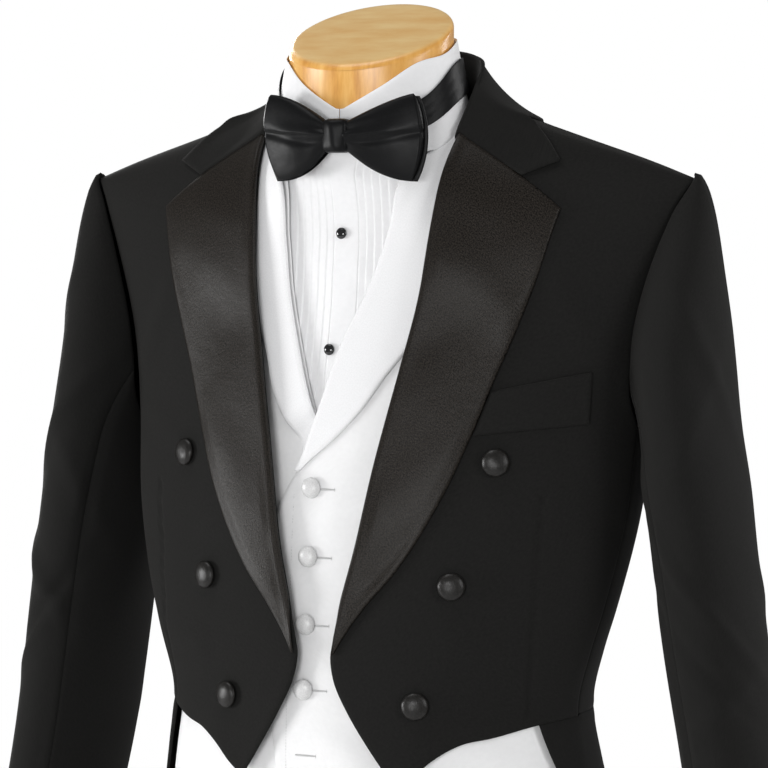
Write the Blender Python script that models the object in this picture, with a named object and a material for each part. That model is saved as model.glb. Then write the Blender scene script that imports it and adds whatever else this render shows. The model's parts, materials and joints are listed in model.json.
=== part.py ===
# Full evening dress on a limbless dress form: tailcoat, waistcoat, trousers,
# shirt front with a stand collar, and bow tie, each piece its own named solid.
# Metres, +Z up, front facing -Y, wearer's left at +X, origin under the round base.

import math

import bmesh
import bpy
import numpy as np

# Driving sizes
COAT_WALL = 0.0020
VEST_WALL = 0.0013
VEST_LAPEL_WALL = 0.0022
SHIRT_WALL = 0.0010
LAPEL_WALL = 0.0018
TROUSER_WALL = 0.0015
SLEEVE_WALL = 0.0018
WELT_WALL = 0.0016
WAISTBAND_WALL = 0.0016
TIE_WALL = 0.0015
BRAID_WALL = 0.0010
SEAM_GAP = 0.0003
SHOULDER_TIP_Z = 1.4558
NECK_POINT_X = 0.0785
FRONT_POINT_Z = 1.031
WAIST_SEAM_Z = 1.0785
ARMHOLE_LOW_Z = 1.280
TAIL_HEM_Z = 0.545
TAIL_SLANT = 0.020
SKIRT_FRONT_Z = 1.0728
BACK_NECK_Z = 1.505
BACK_NECK_X = 0.0785
CUFF_Z = 0.840
TROUSER_HEM_Z = 0.036
TROUSER_TOP_Z = 1.046
WAISTBAND_TOP_Z = 1.086
BASE_RADIUS = 0.190
BASE_THICKNESS = 0.012
POLE_RADIUS = 0.011
POLE_X = 0.090
POLE_Y = -0.010

# How far each layer's outer face lies inside the coat's outer face
VEST_OUT = -0.0066
VEST_LAPEL_OUT = -0.0034
VEST_UNDERLAP = 0.0024
SHIRT_OUT = -0.0130
WAISTBAND_OUT = -0.0118
TROUSER_OUT = -0.0122
FORM_OUT = -0.0165
VEST_SETBACK = 0.004
FORM_LOW_Z = 0.956
TIE_BAND_OUT = 0.0020
WELT_OUT = 0.0028
BRAID_OUT = 0.0018
LAPEL_OUT = 0.0036
LAPEL_ROLL = 0.0024

# How finely round pieces are cut
BUTTON_SEGMENTS = 10
STUD_SEGMENTS = 8
POLE_SEGMENTS = 12
BASE_SEGMENTS = 36
NECK_SEGMENTS = 20
TORSO_SEGMENTS = 28

# Coat surface by height: half width, front and rear depth, and the middle between them
BODY = (
    # height, half_width, front, rear, middle
    (0.540, 0.166, -0.118, 0.108, -0.014),
    (0.750, 0.176, -0.130, 0.118, -0.017),
    (0.870, 0.182, -0.137, 0.124, -0.019),
    (0.960, 0.182, -0.138, 0.118, -0.026),
    (1.000, 0.175, -0.139, 0.104, -0.032),
    (1.040, 0.167, -0.140, 0.089, -0.036),
    (1.085, 0.162, -0.139, 0.078, -0.038),
    (1.120, 0.171, -0.1365, 0.074, -0.039),
    (1.150, 0.180, -0.134, 0.078, -0.037),
    (1.220, 0.195, -0.128, 0.100, -0.029),
    (1.290, 0.201, -0.118, 0.112, -0.022),
    (1.350, 0.209, -0.107, 0.116, -0.021),
    (1.410, 0.228, -0.098, 0.110, -0.020),
    (1.460, 0.248, -0.090, 0.098, -0.020),
    (1.520, 0.262, -0.070, 0.082, -0.020),
)
FRONT_POWER = 1.8
REAR_POWER = 2.2
SHOULDER_DEPTH = 0.13
SHOULDER_POWER = 2.2
NECK_RISE = 0.080
NECK_REACH = 0.085
NECK_PUSH = 0.016
NECK_PUSH_Z = 1.475
NECK_PUSH_WIDTH = 0.070
NECK_PUSH_HEIGHT = 0.035

# Shoulder line from the neck outwards
SHOULDER = (
    # across, height
    (0.000, 1.5200),
    (0.070, 1.5110),
    (0.110, 1.5000),
    (0.160, 1.4840),
    (0.210, 1.4675),
    (0.245, 1.4545),
    (0.300, 1.4360),
)

# Coat front: cutaway edge, then roll line, then neck, as a distance from the middle
COAT_EDGE = (
    # height, across
    (1.0310, 0.0620),
    (1.0418, 0.0540),
    (1.0600, 0.0415),
    (1.0828, 0.0272),
    (1.1033, 0.0170),
    (1.1200, 0.0138),
    (1.1480, 0.0180),
    (1.1973, 0.0297),
    (1.2559, 0.0405),
    (1.3221, 0.0542),
    (1.3773, 0.0650),
    (1.4232, 0.0695),
    (1.4570, 0.0728),
    (1.4877, 0.0768),
    (1.5090, NECK_POINT_X),
)
COAT_HEM = (
    # across, height
    (0.0600, 1.0310),
    (0.0750, 1.0405),
    (0.0865, 1.0500),
    (0.1060, 1.0615),
    (0.1245, 1.0660),
    (0.1475, 1.0735),
    (0.1700, WAIST_SEAM_Z),
)
LAPEL_EDGE = (
    # height, across
    (1.1180, 0.0135),
    (1.1240, 0.0160),
    (1.1540, 0.0350),
    (1.1792, 0.0560),
    (1.2332, 0.0875),
    (1.2756, 0.1045),
    (1.3180, 0.1190),
    (1.3470, 0.1298),
    (1.3880, 0.1438),
    (1.4183, 0.1515),
    (1.4340, 0.1555),
)
LAPEL_FOOT_Z = 1.122
LAPEL_TIP_Z = 1.434
GORGE_Z = 1.4862

# Armhole, as an angle round the body from the middle of the front
ARMHOLE_FRONT = (
    # height, degrees
    (1.2800, 88.0),
    (1.3010, 78.8),
    (1.3336, 75.2),
    (1.3667, 74.0),
    (1.4156, 74.0),
    (1.4400, 75.2),
    (SHOULDER_TIP_Z, 79.0),
)
ARMHOLE_REAR = (
    # height, degrees
    (1.2800, 92.0),
    (1.3000, 99.5),
    (1.3400, 104.5),
    (1.3800, 106.5),
    (1.4156, 107.0),
    (1.4400, 105.0),
    (SHOULDER_TIP_Z, 102.1),
)
SIDE_SEAM_DEGREES = 88.0
ARMHOLE_LAP_DEGREES = 2.4
BACK_SEAM = (
    # height, degrees
    (0.540, 152.0),
    (0.750, 146.0),
    (0.950, 137.0),
    (1.0785, 129.0),
    (1.150, 125.5),
    (1.220, 119.5),
    (1.280, 112.0),
    (1.340, 104.5),
)
BACK_SEAM_TOP_Z = 1.340
TAIL_FRONT = (
    # height, degrees
    (0.560, 149.0),
    (0.650, 141.0),
    (0.750, 129.0),
    (0.850, 113.0),
    (0.950, 92.0),
    (1.000, 80.0),
    (1.045, 71.0),
    (1.0735, 67.0),
)

# Sleeve centre line and section: forward and sideways half widths, and the outward turn
SLEEVE = (
    # height, across, depth, half_fore, half_side, degrees
    (0.830, 0.3010, -0.0320, 0.0530, 0.0310, 10.0),
    (0.950, 0.2850, -0.0200, 0.0545, 0.0325, 12.0),
    (1.040, 0.2700, -0.0135, 0.0560, 0.0345, 12.0),
    (1.145, 0.2530, -0.0145, 0.0575, 0.0360, 12.0),
    (1.195, 0.2458, -0.0135, 0.0600, 0.0360, 10.0),
    (1.240, 0.2395, -0.0125, 0.0620, 0.0360, 7.0),
    (1.280, 0.2345, -0.0130, 0.0620, 0.0340, 5.0),
    (1.340, 0.2240, -0.0150, 0.0580, 0.0385, 0.0),
    (1.400, 0.2130, -0.0180, 0.0460, 0.0445, 0.0),
    (1.460, 0.2090, -0.0200, 0.0300, 0.0450, 0.0),
)
FRONT_SLEEVE_SEAM = 128.0
REAR_SLEEVE_SEAM = 246.0
SLEEVE_LIFT = 0.0034

# Collar ring of the coat: fold line and outer edge, from the middle of the back
COLLAR_FOLD = (
    # place, across, depth, height
    (0.00, 0.0000, 0.0300, 1.5490),
    (0.18, 0.0330, 0.0250, 1.5480),
    (0.36, 0.0590, 0.0080, 1.5430),
    (0.54, 0.0725, -0.0150, 1.5340),
    (0.70, 0.0765, -0.0350, 1.5200),
    (0.85, 0.0780, -0.0500, 1.5050),
    (1.00, 0.0785, -0.0648, 1.4893),
)
COLLAR_EDGE = (
    # place, across, height, behind
    (0.00, 0.0000, 1.4850, 1.0),
    (0.18, 0.0450, 1.4860, 1.0),
    (0.36, 0.0820, 1.4880, 1.0),
    (0.52, 0.1030, 1.4940, 1.0),
    (0.64, 0.1150, 1.4972, 0.0),
    (0.76, 0.1275, 1.4890, 0.0),
    (0.88, 0.1385, 1.4795, 0.0),
    (1.00, 0.1500, 1.4670, 0.0),
)
NOTCH_X = 0.1275
NOTCH_Z = 1.4576
NOTCH_SHARE = 0.64
COLLAR_WALL = 0.0026
COLLAR_LIFT = 0.0048
COLLAR_HOLLOW = 0.009

# Waistcoat, in real sides: across is +X on the wearer's left
VEST_LEFT_NECK = (
    # height, across
    (0.9850, -0.0305),
    (1.2420, -0.0305),
    (1.2500, -0.0255),
    (1.2870, -0.0120),
    (1.3450, 0.0067),
    (1.3711, 0.0195),
    (1.4185, 0.0370),
    (1.4557, 0.0485),
    (1.4800, 0.0670),
    (1.4983, 0.0790),
    (1.5090, 0.0800),
)
VEST_RIGHT_NECK = (
    # height, across, positive towards the wearer's right
    (0.9850, -0.0060),
    (1.2300, -0.0060),
    (1.2600, 0.0020),
    (1.2870, 0.0133),
    (1.3060, 0.0210),
    (1.3381, 0.0320),
    (1.3745, 0.0420),
    (1.4096, 0.0470),
    (1.4560, 0.0541),
    (1.4800, 0.0680),
    (1.4983, 0.0790),
    (1.5090, 0.0800),
)
VEST_LEFT_LAPEL = (
    # height, across
    (1.2450, -0.0275),
    (1.2561, -0.0160),
    (1.2728, 0.0039),
    (1.2915, 0.0217),
    (1.3176, 0.0400),
    (1.3373, 0.0550),
    (1.3700, 0.0720),
    (1.4200, 0.0880),
    (1.4900, 0.1060),
)
VEST_RIGHT_LAPEL = (
    # height, across, positive towards the wearer's right
    (1.2700, 0.0240),
    (1.2836, 0.0361),
    (1.3030, 0.0485),
    (1.3324, 0.0586),
    (1.3700, 0.0740),
    (1.4200, 0.0880),
    (1.4900, 0.1060),
)
# Heights of a lapel's foot at the neck edge and at the outer edge
VEST_LEFT_FOOT = (1.2500, 1.2500)
VEST_RIGHT_FOOT = (1.2960, 1.2760)
VEST_POINT_Z = 0.9850
VEST_SIDE_Z = 1.0220
VEST_NECK_Z = 1.5085
VEST_TIP_Z = 1.4857
VEST_BACK_NECK_Z = 1.4800
VEST_NECK_X = 0.0800
VEST_ARMHOLE_LOW_Z = 1.240
VEST_ARMHOLE_FRONT = (
    # height, degrees
    (1.2400, 88.0),
    (1.2700, 79.0),
    (1.3200, 63.0),
    (1.3800, 50.0),
    (1.4300, 43.5),
    (1.4857, 40.4),
)
VEST_ARMHOLE_REAR = (
    # height, degrees
    (1.2400, 88.0),
    (1.2700, 100.0),
    (1.3200, 116.0),
    (1.3800, 129.0),
    (1.4300, 135.0),
    (1.4857, 145.0),
)
VEST_HEM = (
    # across, height
    (0.000, 0.9960),
    (0.045, 0.9840),
    (0.100, 1.0050),
    (0.160, 1.0200),
    (0.190, 1.0220),
)

# Shirt front: shares are of the half width, degrees are round the body or the neck
PLEATS_A_SIDE = 6
PLEAT_HEIGHT = 0.0008
PLACKET_HALF_SHARE = 0.20
BIB_HALF_SHARE = 0.80
SHIRT_LOW_Z = 1.170
SHIRT_TURN_Z = 1.457
SHIRT_HOLLOW = 0.020
SHIRT_LOW_DEGREES = 26.0
SHIRT_HIGH_DEGREES = 16.0
SHIRT_NECK_DEGREES = 52.0

# Stand collar of the shirt: radii grow downwards from the top
COLLAR_MIDDLE_Y = -0.043
COLLAR_TOP_Z = 1.552
COLLAR_RADIUS_X = 0.0632
COLLAR_RADIUS_Y = 0.0497
COLLAR_FLARE_X = 0.20
COLLAR_FLARE_Y = 0.05
SHIRT_COLLAR = (
    # degrees_from_front, top, base
    (2.0, 1.5045, 1.4790),
    (25.0, 1.5200, 1.4810),
    (50.0, 1.5365, 1.4870),
    (75.0, 1.5430, 1.4960),
    (100.0, 1.5520, 1.5080),
    (140.0, 1.5570, 1.5180),
    (180.0, 1.5580, 1.5200),
)
TIE_BAND = (
    # degrees_from_front, top, base
    (8.0, 1.4960, 1.4780),
    (50.0, 1.5115, 1.4915),
    (83.0, 1.5360, 1.5110),
    (130.0, 1.5420, 1.5200),
    (180.0, 1.5440, 1.5220),
)
NECK_TOP_FRONT_Z = 1.535
NECK_TOP_REAR_Z = 1.583
NECK_RADIUS_X = 0.0615
NECK_RADIUS_Y = 0.0480
NECK_TOP_Y = -0.0455
NECK_SEAT_Z = 1.4860
NECK_TUCK = 0.0070
NECK_GAP = 0.0007

# Trouser leg sections
LEG = (
    # height, across, depth, half_width, half_depth
    (0.030, 0.1010, -0.0020, 0.0620, 0.0790),
    (0.300, 0.0990, -0.0040, 0.0660, 0.0810),
    (0.500, 0.0965, -0.0070, 0.0710, 0.0840),
    (0.700, 0.0925, -0.0110, 0.0795, 0.0915),
    (0.820, 0.0900, -0.0130, 0.0860, 0.1020),
    (0.940, 0.0890, -0.0120, 0.0870, 0.1120),
)
CROTCH_Z = 0.820
SEAT_Z = 0.930

BOW_CENTRE = (0.004, -0.1060, 1.4855)
BOW_HALF_WIDTH = 0.0610
BOW_END_HALF_HEIGHT = 0.0305
BOW_KNOT_HALF_HEIGHT = 0.0120
BOW_KNOT_HALF_WIDTH = 0.0095

COAT_BUTTONS = (
    # across, height
    (0.1235, 1.2580),
    (0.0975, 1.1718),
    (0.0745, 1.0880),
)
WAIST_BUTTON = (0.055, 1.0900)
BUTTON_OUT = 0.0007
BUTTON_REAR_OUT = 0.0012
VEST_BUTTON_OUT = 0.0004
VEST_BUTTON_X = -0.0115
VEST_BUTTON_HEIGHTS = (1.2372, 1.1888, 1.1411, 1.0954)
STUDS = (
    # across, height
    (-0.0035, 1.4165),
    (-0.0085, 1.3342),
)
COAT_BUTTON_RADIUS = 0.0098
VEST_BUTTON_RADIUS = 0.0075
STUD_RADIUS = 0.0041

WELT_CORNERS = (
    # across, height
    (0.1078, 1.2770),
    (0.1778, 1.2850),
    (0.1182, 1.3070),
    (0.1793, 1.3202),
)


def clear_scene():
    for item in list(bpy.data.objects):
        bpy.data.objects.remove(item, do_unlink=True)


def material(name, colour, roughness, metallic=0.0):
    made = bpy.data.materials.new(name)
    made.use_nodes = True
    shader = made.node_tree.nodes["Principled BSDF"]
    shader.inputs["Base Color"].default_value = (*colour, 1.0)
    shader.inputs["Roughness"].default_value = roughness
    shader.inputs["Metallic"].default_value = metallic
    return made


def smooth(value):
    share = np.clip(value, 0.0, 1.0)
    return share * share * (3.0 - 2.0 * share)


def blend(start, end, share):
    return start + (end - start) * share


def read(rows, place):
    """Smooth values of a table's later columns at a place in its first column."""
    data = np.array(rows, dtype=float)
    along = data[:, 0]
    place = np.asarray(place, dtype=float)
    step = np.clip(np.searchsorted(along, place) - 1, 0, len(along) - 2)
    length = along[step + 1] - along[step]
    share = np.clip((place - along[step]) / length, 0.0, 1.0)
    found = []
    for column in range(1, data.shape[1]):
        values = data[:, column]
        slopes = np.gradient(values, along)
        cube, square = share ** 3, share ** 2
        found.append(
            (2 * cube - 3 * square + 1) * values[step]
            + (cube - 2 * square + share) * length * slopes[step]
            + (3 * square - 2 * cube) * values[step + 1]
            + (cube - square) * length * slopes[step + 1]
        )
    return found if len(found) > 1 else found[0]


def body_point(angle, height):
    """Point on the coat's outer surface at an angle from the middle of the front."""
    half, front, rear, middle = read(BODY, height)
    behind = np.cos(angle) < 0.0
    power = np.where(behind, REAR_POWER, FRONT_POWER)
    across = half * np.sign(np.sin(angle)) * np.abs(np.sin(angle)) ** (2.0 / power)
    line = read(SHOULDER, np.abs(across))
    line = line + np.where(behind, 0.0, NECK_RISE * smooth(1.0 - np.abs(across) / NECK_REACH))
    below = np.clip((line - height) / SHOULDER_DEPTH, 0.0, 1.0)
    round_over = (1.0 - (1.0 - below) ** SHOULDER_POWER) ** (1.0 / SHOULDER_POWER)
    depth = np.abs(np.cos(angle)) ** (2.0 / power) * round_over
    y = np.where(behind, middle + (rear - middle) * depth, middle - (middle - front) * depth)
    beside_neck = (across / NECK_PUSH_WIDTH) ** 2 + ((height - NECK_PUSH_Z) / NECK_PUSH_HEIGHT) ** 2
    near_neck = np.exp(-beside_neck)
    y = y - np.where(behind, 0.0, NECK_PUSH * near_neck * np.abs(np.cos(angle)))
    return np.stack([across, y, height + 0.0 * across], axis=-1)


def angle_at(across, height, behind=False):
    """Angle round the body of the point at a distance across and a height."""
    half = read(BODY, height)[0]
    power = REAR_POWER if behind else FRONT_POWER
    share = np.clip(np.abs(across) / half, 0.0, 1.0) ** (power / 2.0)
    angle = np.arcsin(share) * np.sign(across)
    return math.pi - angle if behind else angle


def shoulder_height(angle, height):
    """Height of the shoulder line above the point at this angle."""
    for _ in range(3):
        height = read(SHOULDER, np.abs(body_point(angle, height)[..., 0]))
    return height


def surface(function, u_values, v_values, inside):
    """Grid of points and of unit normals that point away from the inside points."""
    u, v = np.meshgrid(np.array(u_values, float), np.array(v_values, float))
    tiny = 1e-4
    u_low, u_high = np.maximum(u - tiny, min(u_values)), np.minimum(u + tiny, max(u_values))
    v_low, v_high = np.maximum(v - tiny, min(v_values)), np.minimum(v + tiny, max(v_values))
    points = function(u, v)
    along = function(u_high, v) - function(u_low, v)
    up = function(u, v_high) - function(u, v_low)
    normals = np.cross(along, up)
    normals /= np.linalg.norm(normals, axis=-1, keepdims=True) + 1e-12
    side = np.sum((points - inside(points)) * normals, axis=-1)
    if side.mean() < 0.0:
        normals = -normals
    return points, normals


def body_axis(points):
    centre = points.copy()
    centre[..., 0] = 0.0
    centre[..., 1] = -0.02
    centre[..., 2] -= 0.03
    return centre


def inset_border(grid, gap, closed=False):
    """Grid whose outer rows and columns are drawn in by half a seam gap."""
    moved = grid.copy()
    for edge, next_in in ((0, 1), (-1, -2)):
        step = grid[next_in] - grid[edge]
        length = np.linalg.norm(step, axis=-1, keepdims=True) + 1e-9
        moved[edge] += step / length * gap / 2.0
        if not closed:
            step = grid[:, next_in] - grid[:, edge]
            length = np.linalg.norm(step, axis=-1, keepdims=True) + 1e-9
            moved[:, edge] += step / length * gap / 2.0
    return moved


def add_object(name, vertices, faces, skin):
    mesh = bpy.data.meshes.new(name)
    mesh.from_pydata([tuple(point) for point in vertices], [], faces)
    shape = bmesh.new()
    shape.from_mesh(mesh)
    bmesh.ops.recalc_face_normals(shape, faces=shape.faces)
    if shape.calc_volume(signed=True) < 0.0:
        bmesh.ops.reverse_faces(shape, faces=shape.faces)
    shape.to_mesh(mesh)
    shape.free()
    mesh.materials.append(skin)
    mesh.shade_smooth()
    mesh.set_sharp_from_angle(angle=math.radians(40.0))
    made = bpy.data.objects.new(name, mesh)
    bpy.context.collection.objects.link(made)
    return made


def add_wall(name, outer, inner, skin, closed=False):
    """Closed wall between an outer and an inner grid of points."""
    rows, columns = outer.shape[:2]
    count = rows * columns
    vertices = np.concatenate([outer.reshape(-1, 3), inner.reshape(-1, 3)])
    faces = []
    last = columns if closed else columns - 1
    for row in range(rows - 1):
        for column in range(last):
            following = (column + 1) % columns
            a, b = row * columns + column, row * columns + following
            c, d = b + columns, a + columns
            faces.append((a, b, c, d))
            faces.append((d + count, c + count, b + count, a + count))
    for row in (0, rows - 1):
        for column in range(last):
            a = row * columns + column
            b = row * columns + (column + 1) % columns
            faces.append((a, b, b + count, a + count))
    if not closed:
        for column in (0, columns - 1):
            for row in range(rows - 1):
                a = row * columns + column
                b = a + columns
                faces.append((a, b, b + count, a + count))
    return add_object(name, vertices, faces, skin)


def add_panel(name, function, u_values, v_values, skin, out, wall, inside=body_axis,
              side=1, closed=False, gap=SEAM_GAP, own_side=False):
    """Wall that follows a surface. A one-sided piece never crosses the middle plane."""
    points, normals = surface(function, u_values, v_values, inside)
    u, v = np.meshgrid(np.array(u_values, float), np.array(v_values, float))
    lift = out(u, v)[..., None] if callable(out) else out
    outer = inset_border(points + normals * lift, gap, closed)
    inner = inset_border(points + normals * (lift - wall), gap, closed)
    for grid in (outer, inner):
        if own_side:
            grid[..., 0] = np.maximum(grid[..., 0], gap / 2.0)
        grid[..., 0] *= side
    return add_wall(name, outer, inner, skin, closed)


def steps(count, start=0.0, end=1.0):
    return list(np.linspace(start, end, count + 1))


def add_turned(name, profile, segments, place, direction, skin):
    """Solid turned about a direction from a profile of radius and height."""
    axis = np.array(direction, float) / np.linalg.norm(direction)
    helper = np.array((0.0, 0.0, 1.0)) if abs(axis[2]) < 0.9 else np.array((1.0, 0.0, 0.0))
    across = np.cross(helper, axis)
    across /= np.linalg.norm(across)
    upward = np.cross(axis, across)
    vertices, faces = [], []
    for radius, height in profile:
        for index in range(segments):
            turn = 2.0 * math.pi * index / segments
            spoke = across * math.cos(turn) + upward * math.sin(turn)
            vertices.append(np.array(place) + spoke * radius + axis * height)
    for ring in range(len(profile) - 1):
        for index in range(segments):
            a = ring * segments + index
            b = ring * segments + (index + 1) % segments
            faces.append((a, b, b + segments, a + segments))
    faces.append(tuple(range(segments)))
    top = (len(profile) - 1) * segments
    faces.append(tuple(top + index for index in range(segments)))
    return add_object(name, vertices, faces, skin)


def add_button(name, place, direction, radius, skin, segments=BUTTON_SEGMENTS):
    """Covered button: a small flat seat under a low dome."""
    profile = (
        (radius * 0.86, 0.0),
        (radius, radius * 0.16),
        (radius * 0.93, radius * 0.34),
        (radius * 0.62, radius * 0.52),
        (radius * 0.20, radius * 0.60),
    )
    return add_turned(name, profile, segments, place, direction, skin)


def body_normal(angle, height):
    """Point on the body and its outward direction."""
    tiny = 1e-3
    points, normals = surface(
        body_point, (angle - tiny, angle, angle + tiny), (height - tiny, height, height + tiny), body_axis
    )
    return points[1, 1], normals[1, 1]


def seat_on_body(across, height, out, behind=False):
    """Point and outward direction on the body, lifted by out."""
    point, normal = body_normal(float(angle_at(across, height, behind)), height)
    return point + normal * out, normal


# Coat body


def under_sleeve(height):
    """Degrees by which a body panel runs on under the lifted edge of the sleeve."""
    share = (height - ARMHOLE_LOW_Z) / (SHOULDER_TIP_Z - ARMHOLE_LOW_Z)
    return ARMHOLE_LAP_DEGREES * smooth(share / 0.25) * smooth((1.0 - share) / 0.25)


def coat_front_place(u, v):
    low_z = blend(FRONT_POINT_Z, COAT_EDGE[-1][0], v)
    side_z = blend(WAIST_SEAM_Z, SHOULDER_TIP_Z, v)
    inner = angle_at(read(COAT_EDGE, low_z), low_z)
    outer = np.radians(read(ARMHOLE_FRONT, side_z))
    outer = outer + np.radians(under_sleeve(side_z))
    outer = np.where(side_z < ARMHOLE_LOW_Z, math.radians(SIDE_SEAM_DEGREES), outer)
    angle = blend(inner, outer, u)
    height = blend(low_z, side_z, u)
    across = body_point(angle, height)[..., 0]
    hem_rise = read(COAT_HEM, across) - blend(FRONT_POINT_Z, WAIST_SEAM_Z, u)
    line = shoulder_height(angle, height)
    shoulder_rise = line - blend(COAT_EDGE[-1][0], SHOULDER_TIP_Z, u)
    height = height + hem_rise * (1.0 - v) ** 8 + shoulder_rise * v ** 6
    return angle, np.minimum(height, line)


def coat_front(u, v):
    return body_point(*coat_front_place(u, v))


def coat_side(u, v):
    top = ARMHOLE_LOW_Z + (BACK_SEAM_TOP_Z - ARMHOLE_LOW_Z) * u ** 3.2
    height = blend(WAIST_SEAM_Z, top, v)
    front = math.radians(SIDE_SEAM_DEGREES)
    return body_point(blend(front, np.radians(read(BACK_SEAM, height)), u), height)


def back_left_edge(height):
    seam = read(BACK_SEAM, height)
    armhole = read(ARMHOLE_REAR, height) - under_sleeve(height)
    return np.radians(np.where(height > BACK_SEAM_TOP_Z, armhole, seam))


def coat_back(u, v):
    """One back from the tail's hem to the neck and shoulder, u from the seam to the middle."""
    angle_top = angle_at(BACK_NECK_X, VEST_NECK_Z, behind=True)
    side_z = blend(TAIL_HEM_Z, SHOULDER_TIP_Z, v)
    middle_z = blend(TAIL_HEM_Z, BACK_NECK_Z, v)
    height = blend(side_z, middle_z, u)
    outer = back_left_edge(side_z)
    angle = blend(outer, math.pi, u)
    line = shoulder_height(angle, height)
    neck = smooth((angle - angle_top) / (math.pi - angle_top))
    top = np.where(angle > angle_top, blend(line, BACK_NECK_Z, neck), line)
    rise = top - blend(SHOULDER_TIP_Z, BACK_NECK_Z, u)
    height = height + rise * v ** 8
    return body_point(angle, np.minimum(height, line))


def coat_skirt(u, v):
    """Tail piece from its curved front edge to the back seam."""
    seam_front_z = SKIRT_FRONT_Z
    seam_rear_z = WAIST_SEAM_Z - 0.0010
    front_z = blend(TAIL_HEM_Z + TAIL_SLANT, seam_front_z, v)
    rear_z = blend(TAIL_HEM_Z, seam_rear_z, v)
    front = np.radians(read(TAIL_FRONT, front_z))
    rear = np.radians(read(BACK_SEAM, rear_z))
    angle = blend(front, rear, u)
    height = blend(front_z, rear_z, u)
    across = np.abs(body_point(angle, height)[..., 0])
    forward = np.cos(angle) > 0.0
    seam = np.where(forward, read(COAT_HEM, across), WAIST_SEAM_Z) - 0.0008
    rise = seam - blend(seam_front_z, seam_rear_z, u)
    return body_point(angle, height + rise * v ** 10)


def coat_lapel(u, v):
    inner_z = blend(LAPEL_FOOT_Z, GORGE_Z, v)
    outer_z = blend(LAPEL_FOOT_Z + 0.001, LAPEL_TIP_Z, v)
    inner = angle_at(read(COAT_EDGE, inner_z), inner_z)
    outer = angle_at(read(LAPEL_EDGE, outer_z) + 0.0012, outer_z)
    return body_point(blend(inner, outer, u), blend(inner_z, outer_z, u))


def lapel_lift(u, v):
    return LAPEL_OUT + LAPEL_ROLL * (1.0 - u) ** 3


def collar_edge_points():
    """Outer edge of the coat collar, lying just above the coat."""
    found = []
    for place, across, height, behind in COLLAR_EDGE:
        point, _ = seat_on_body(max(across, 1e-4), height, COLLAR_LIFT, behind > 0.5)
        found.append((place, *point))
    return found


def coat_collar_surface():
    edge_rows = collar_edge_points()
    notch, _ = seat_on_body(NOTCH_X, NOTCH_Z, COLLAR_LIFT)
    fold_end = np.array(COLLAR_FOLD[-1][1:])
    edge_end = np.array(edge_rows[-1][1:])

    def place(u, v):
        """u runs from one front end round the back to the other, v from stand to edge."""
        along = np.abs(u)
        fold = np.stack(read(COLLAR_FOLD, along), axis=-1)
        edge = np.stack(read(edge_rows, along), axis=-1)
        near_front = smooth((along - 0.70) / 0.30)[..., None]
        middle = blend(fold, edge, 0.40) - np.array((0.0, 0.0, COLLAR_HOLLOW))
        leaf = np.clip(v, 0.0, 1.0)[..., None]
        hollow = fold * (1 - leaf) ** 2 + 2 * middle * leaf * (1 - leaf) + edge * leaf ** 2
        gorge = blend(fold_end, notch, leaf / NOTCH_SHARE)
        end = blend(notch, edge_end, (leaf - NOTCH_SHARE) / (1.0 - NOTCH_SHARE))
        cut = np.where(leaf < NOTCH_SHARE, gorge, end) - blend(fold_end, edge_end, leaf)
        outside = blend(hollow, blend(fold, edge, leaf) + cut, near_front)
        drop = np.clip(-v, 0.0, 1.0)[..., None]
        depth = blend(0.026, 0.006, smooth((along - 0.55) / 0.40))[..., None]
        centre = np.array((0.0, COLLAR_MIDDLE_Y, 0.0))
        inward = centre - fold
        inward[..., 2] = 0.0
        inward /= np.linalg.norm(inward, axis=-1, keepdims=True)
        bend = 4.0 * drop * (1.0 - drop)
        stand = fold + inward * (0.0032 * drop + 0.0016 * bend)
        stand[..., 2] -= (drop * depth)[..., 0]
        facing = (along > 0.62) & (outside[..., 2] < read(SHOULDER, outside[..., 0]) - 0.002)
        body = body_point(angle_at(outside[..., 0], outside[..., 2]), outside[..., 2])[..., 1]
        lifted = np.minimum(outside[..., 1], body - COLLAR_LIFT)
        outside[..., 1] = np.where(facing, lifted, outside[..., 1])
        points = np.where(v[..., None] >= 0.0, outside, stand)
        points[..., 0] *= np.where(u < 0.0, -1.0, 1.0)
        return points

    return place


def collar_inside(points):
    """Points between the collar's leaf and its stand, seen from the outer face."""
    centre = points.copy()
    centre[..., 0] *= 0.9
    centre[..., 1] = blend(COLLAR_MIDDLE_Y, centre[..., 1], 0.9)
    centre[..., 2] -= 0.02
    return centre


# Sleeves


def armhole_point(turn):
    """Point of the armhole seam for a turn round the sleeve, 0 at the shoulder."""
    middle = (SHOULDER_TIP_Z + ARMHOLE_LOW_Z) / 2
    height = middle + (SHOULDER_TIP_Z - middle) * np.cos(turn)
    front = np.radians(read(ARMHOLE_FRONT, height))
    rear = np.radians(read(ARMHOLE_REAR, height))
    angle = np.where(np.sin(turn) >= 0.0, front, rear)
    return angle, height


def sleeve_tube(turn, height):
    across, depth, half_fore, half_side, degrees = read(SLEEVE, height)
    twist = np.radians(degrees)
    sideways = half_side * np.cos(turn)
    forward = -half_fore * np.sin(turn)
    x = across + sideways * np.cos(twist) - forward * np.sin(twist)
    y = depth + forward * np.cos(twist) + sideways * np.sin(twist)
    return np.stack([x, y, height + 0.0 * x], axis=-1)


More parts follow.
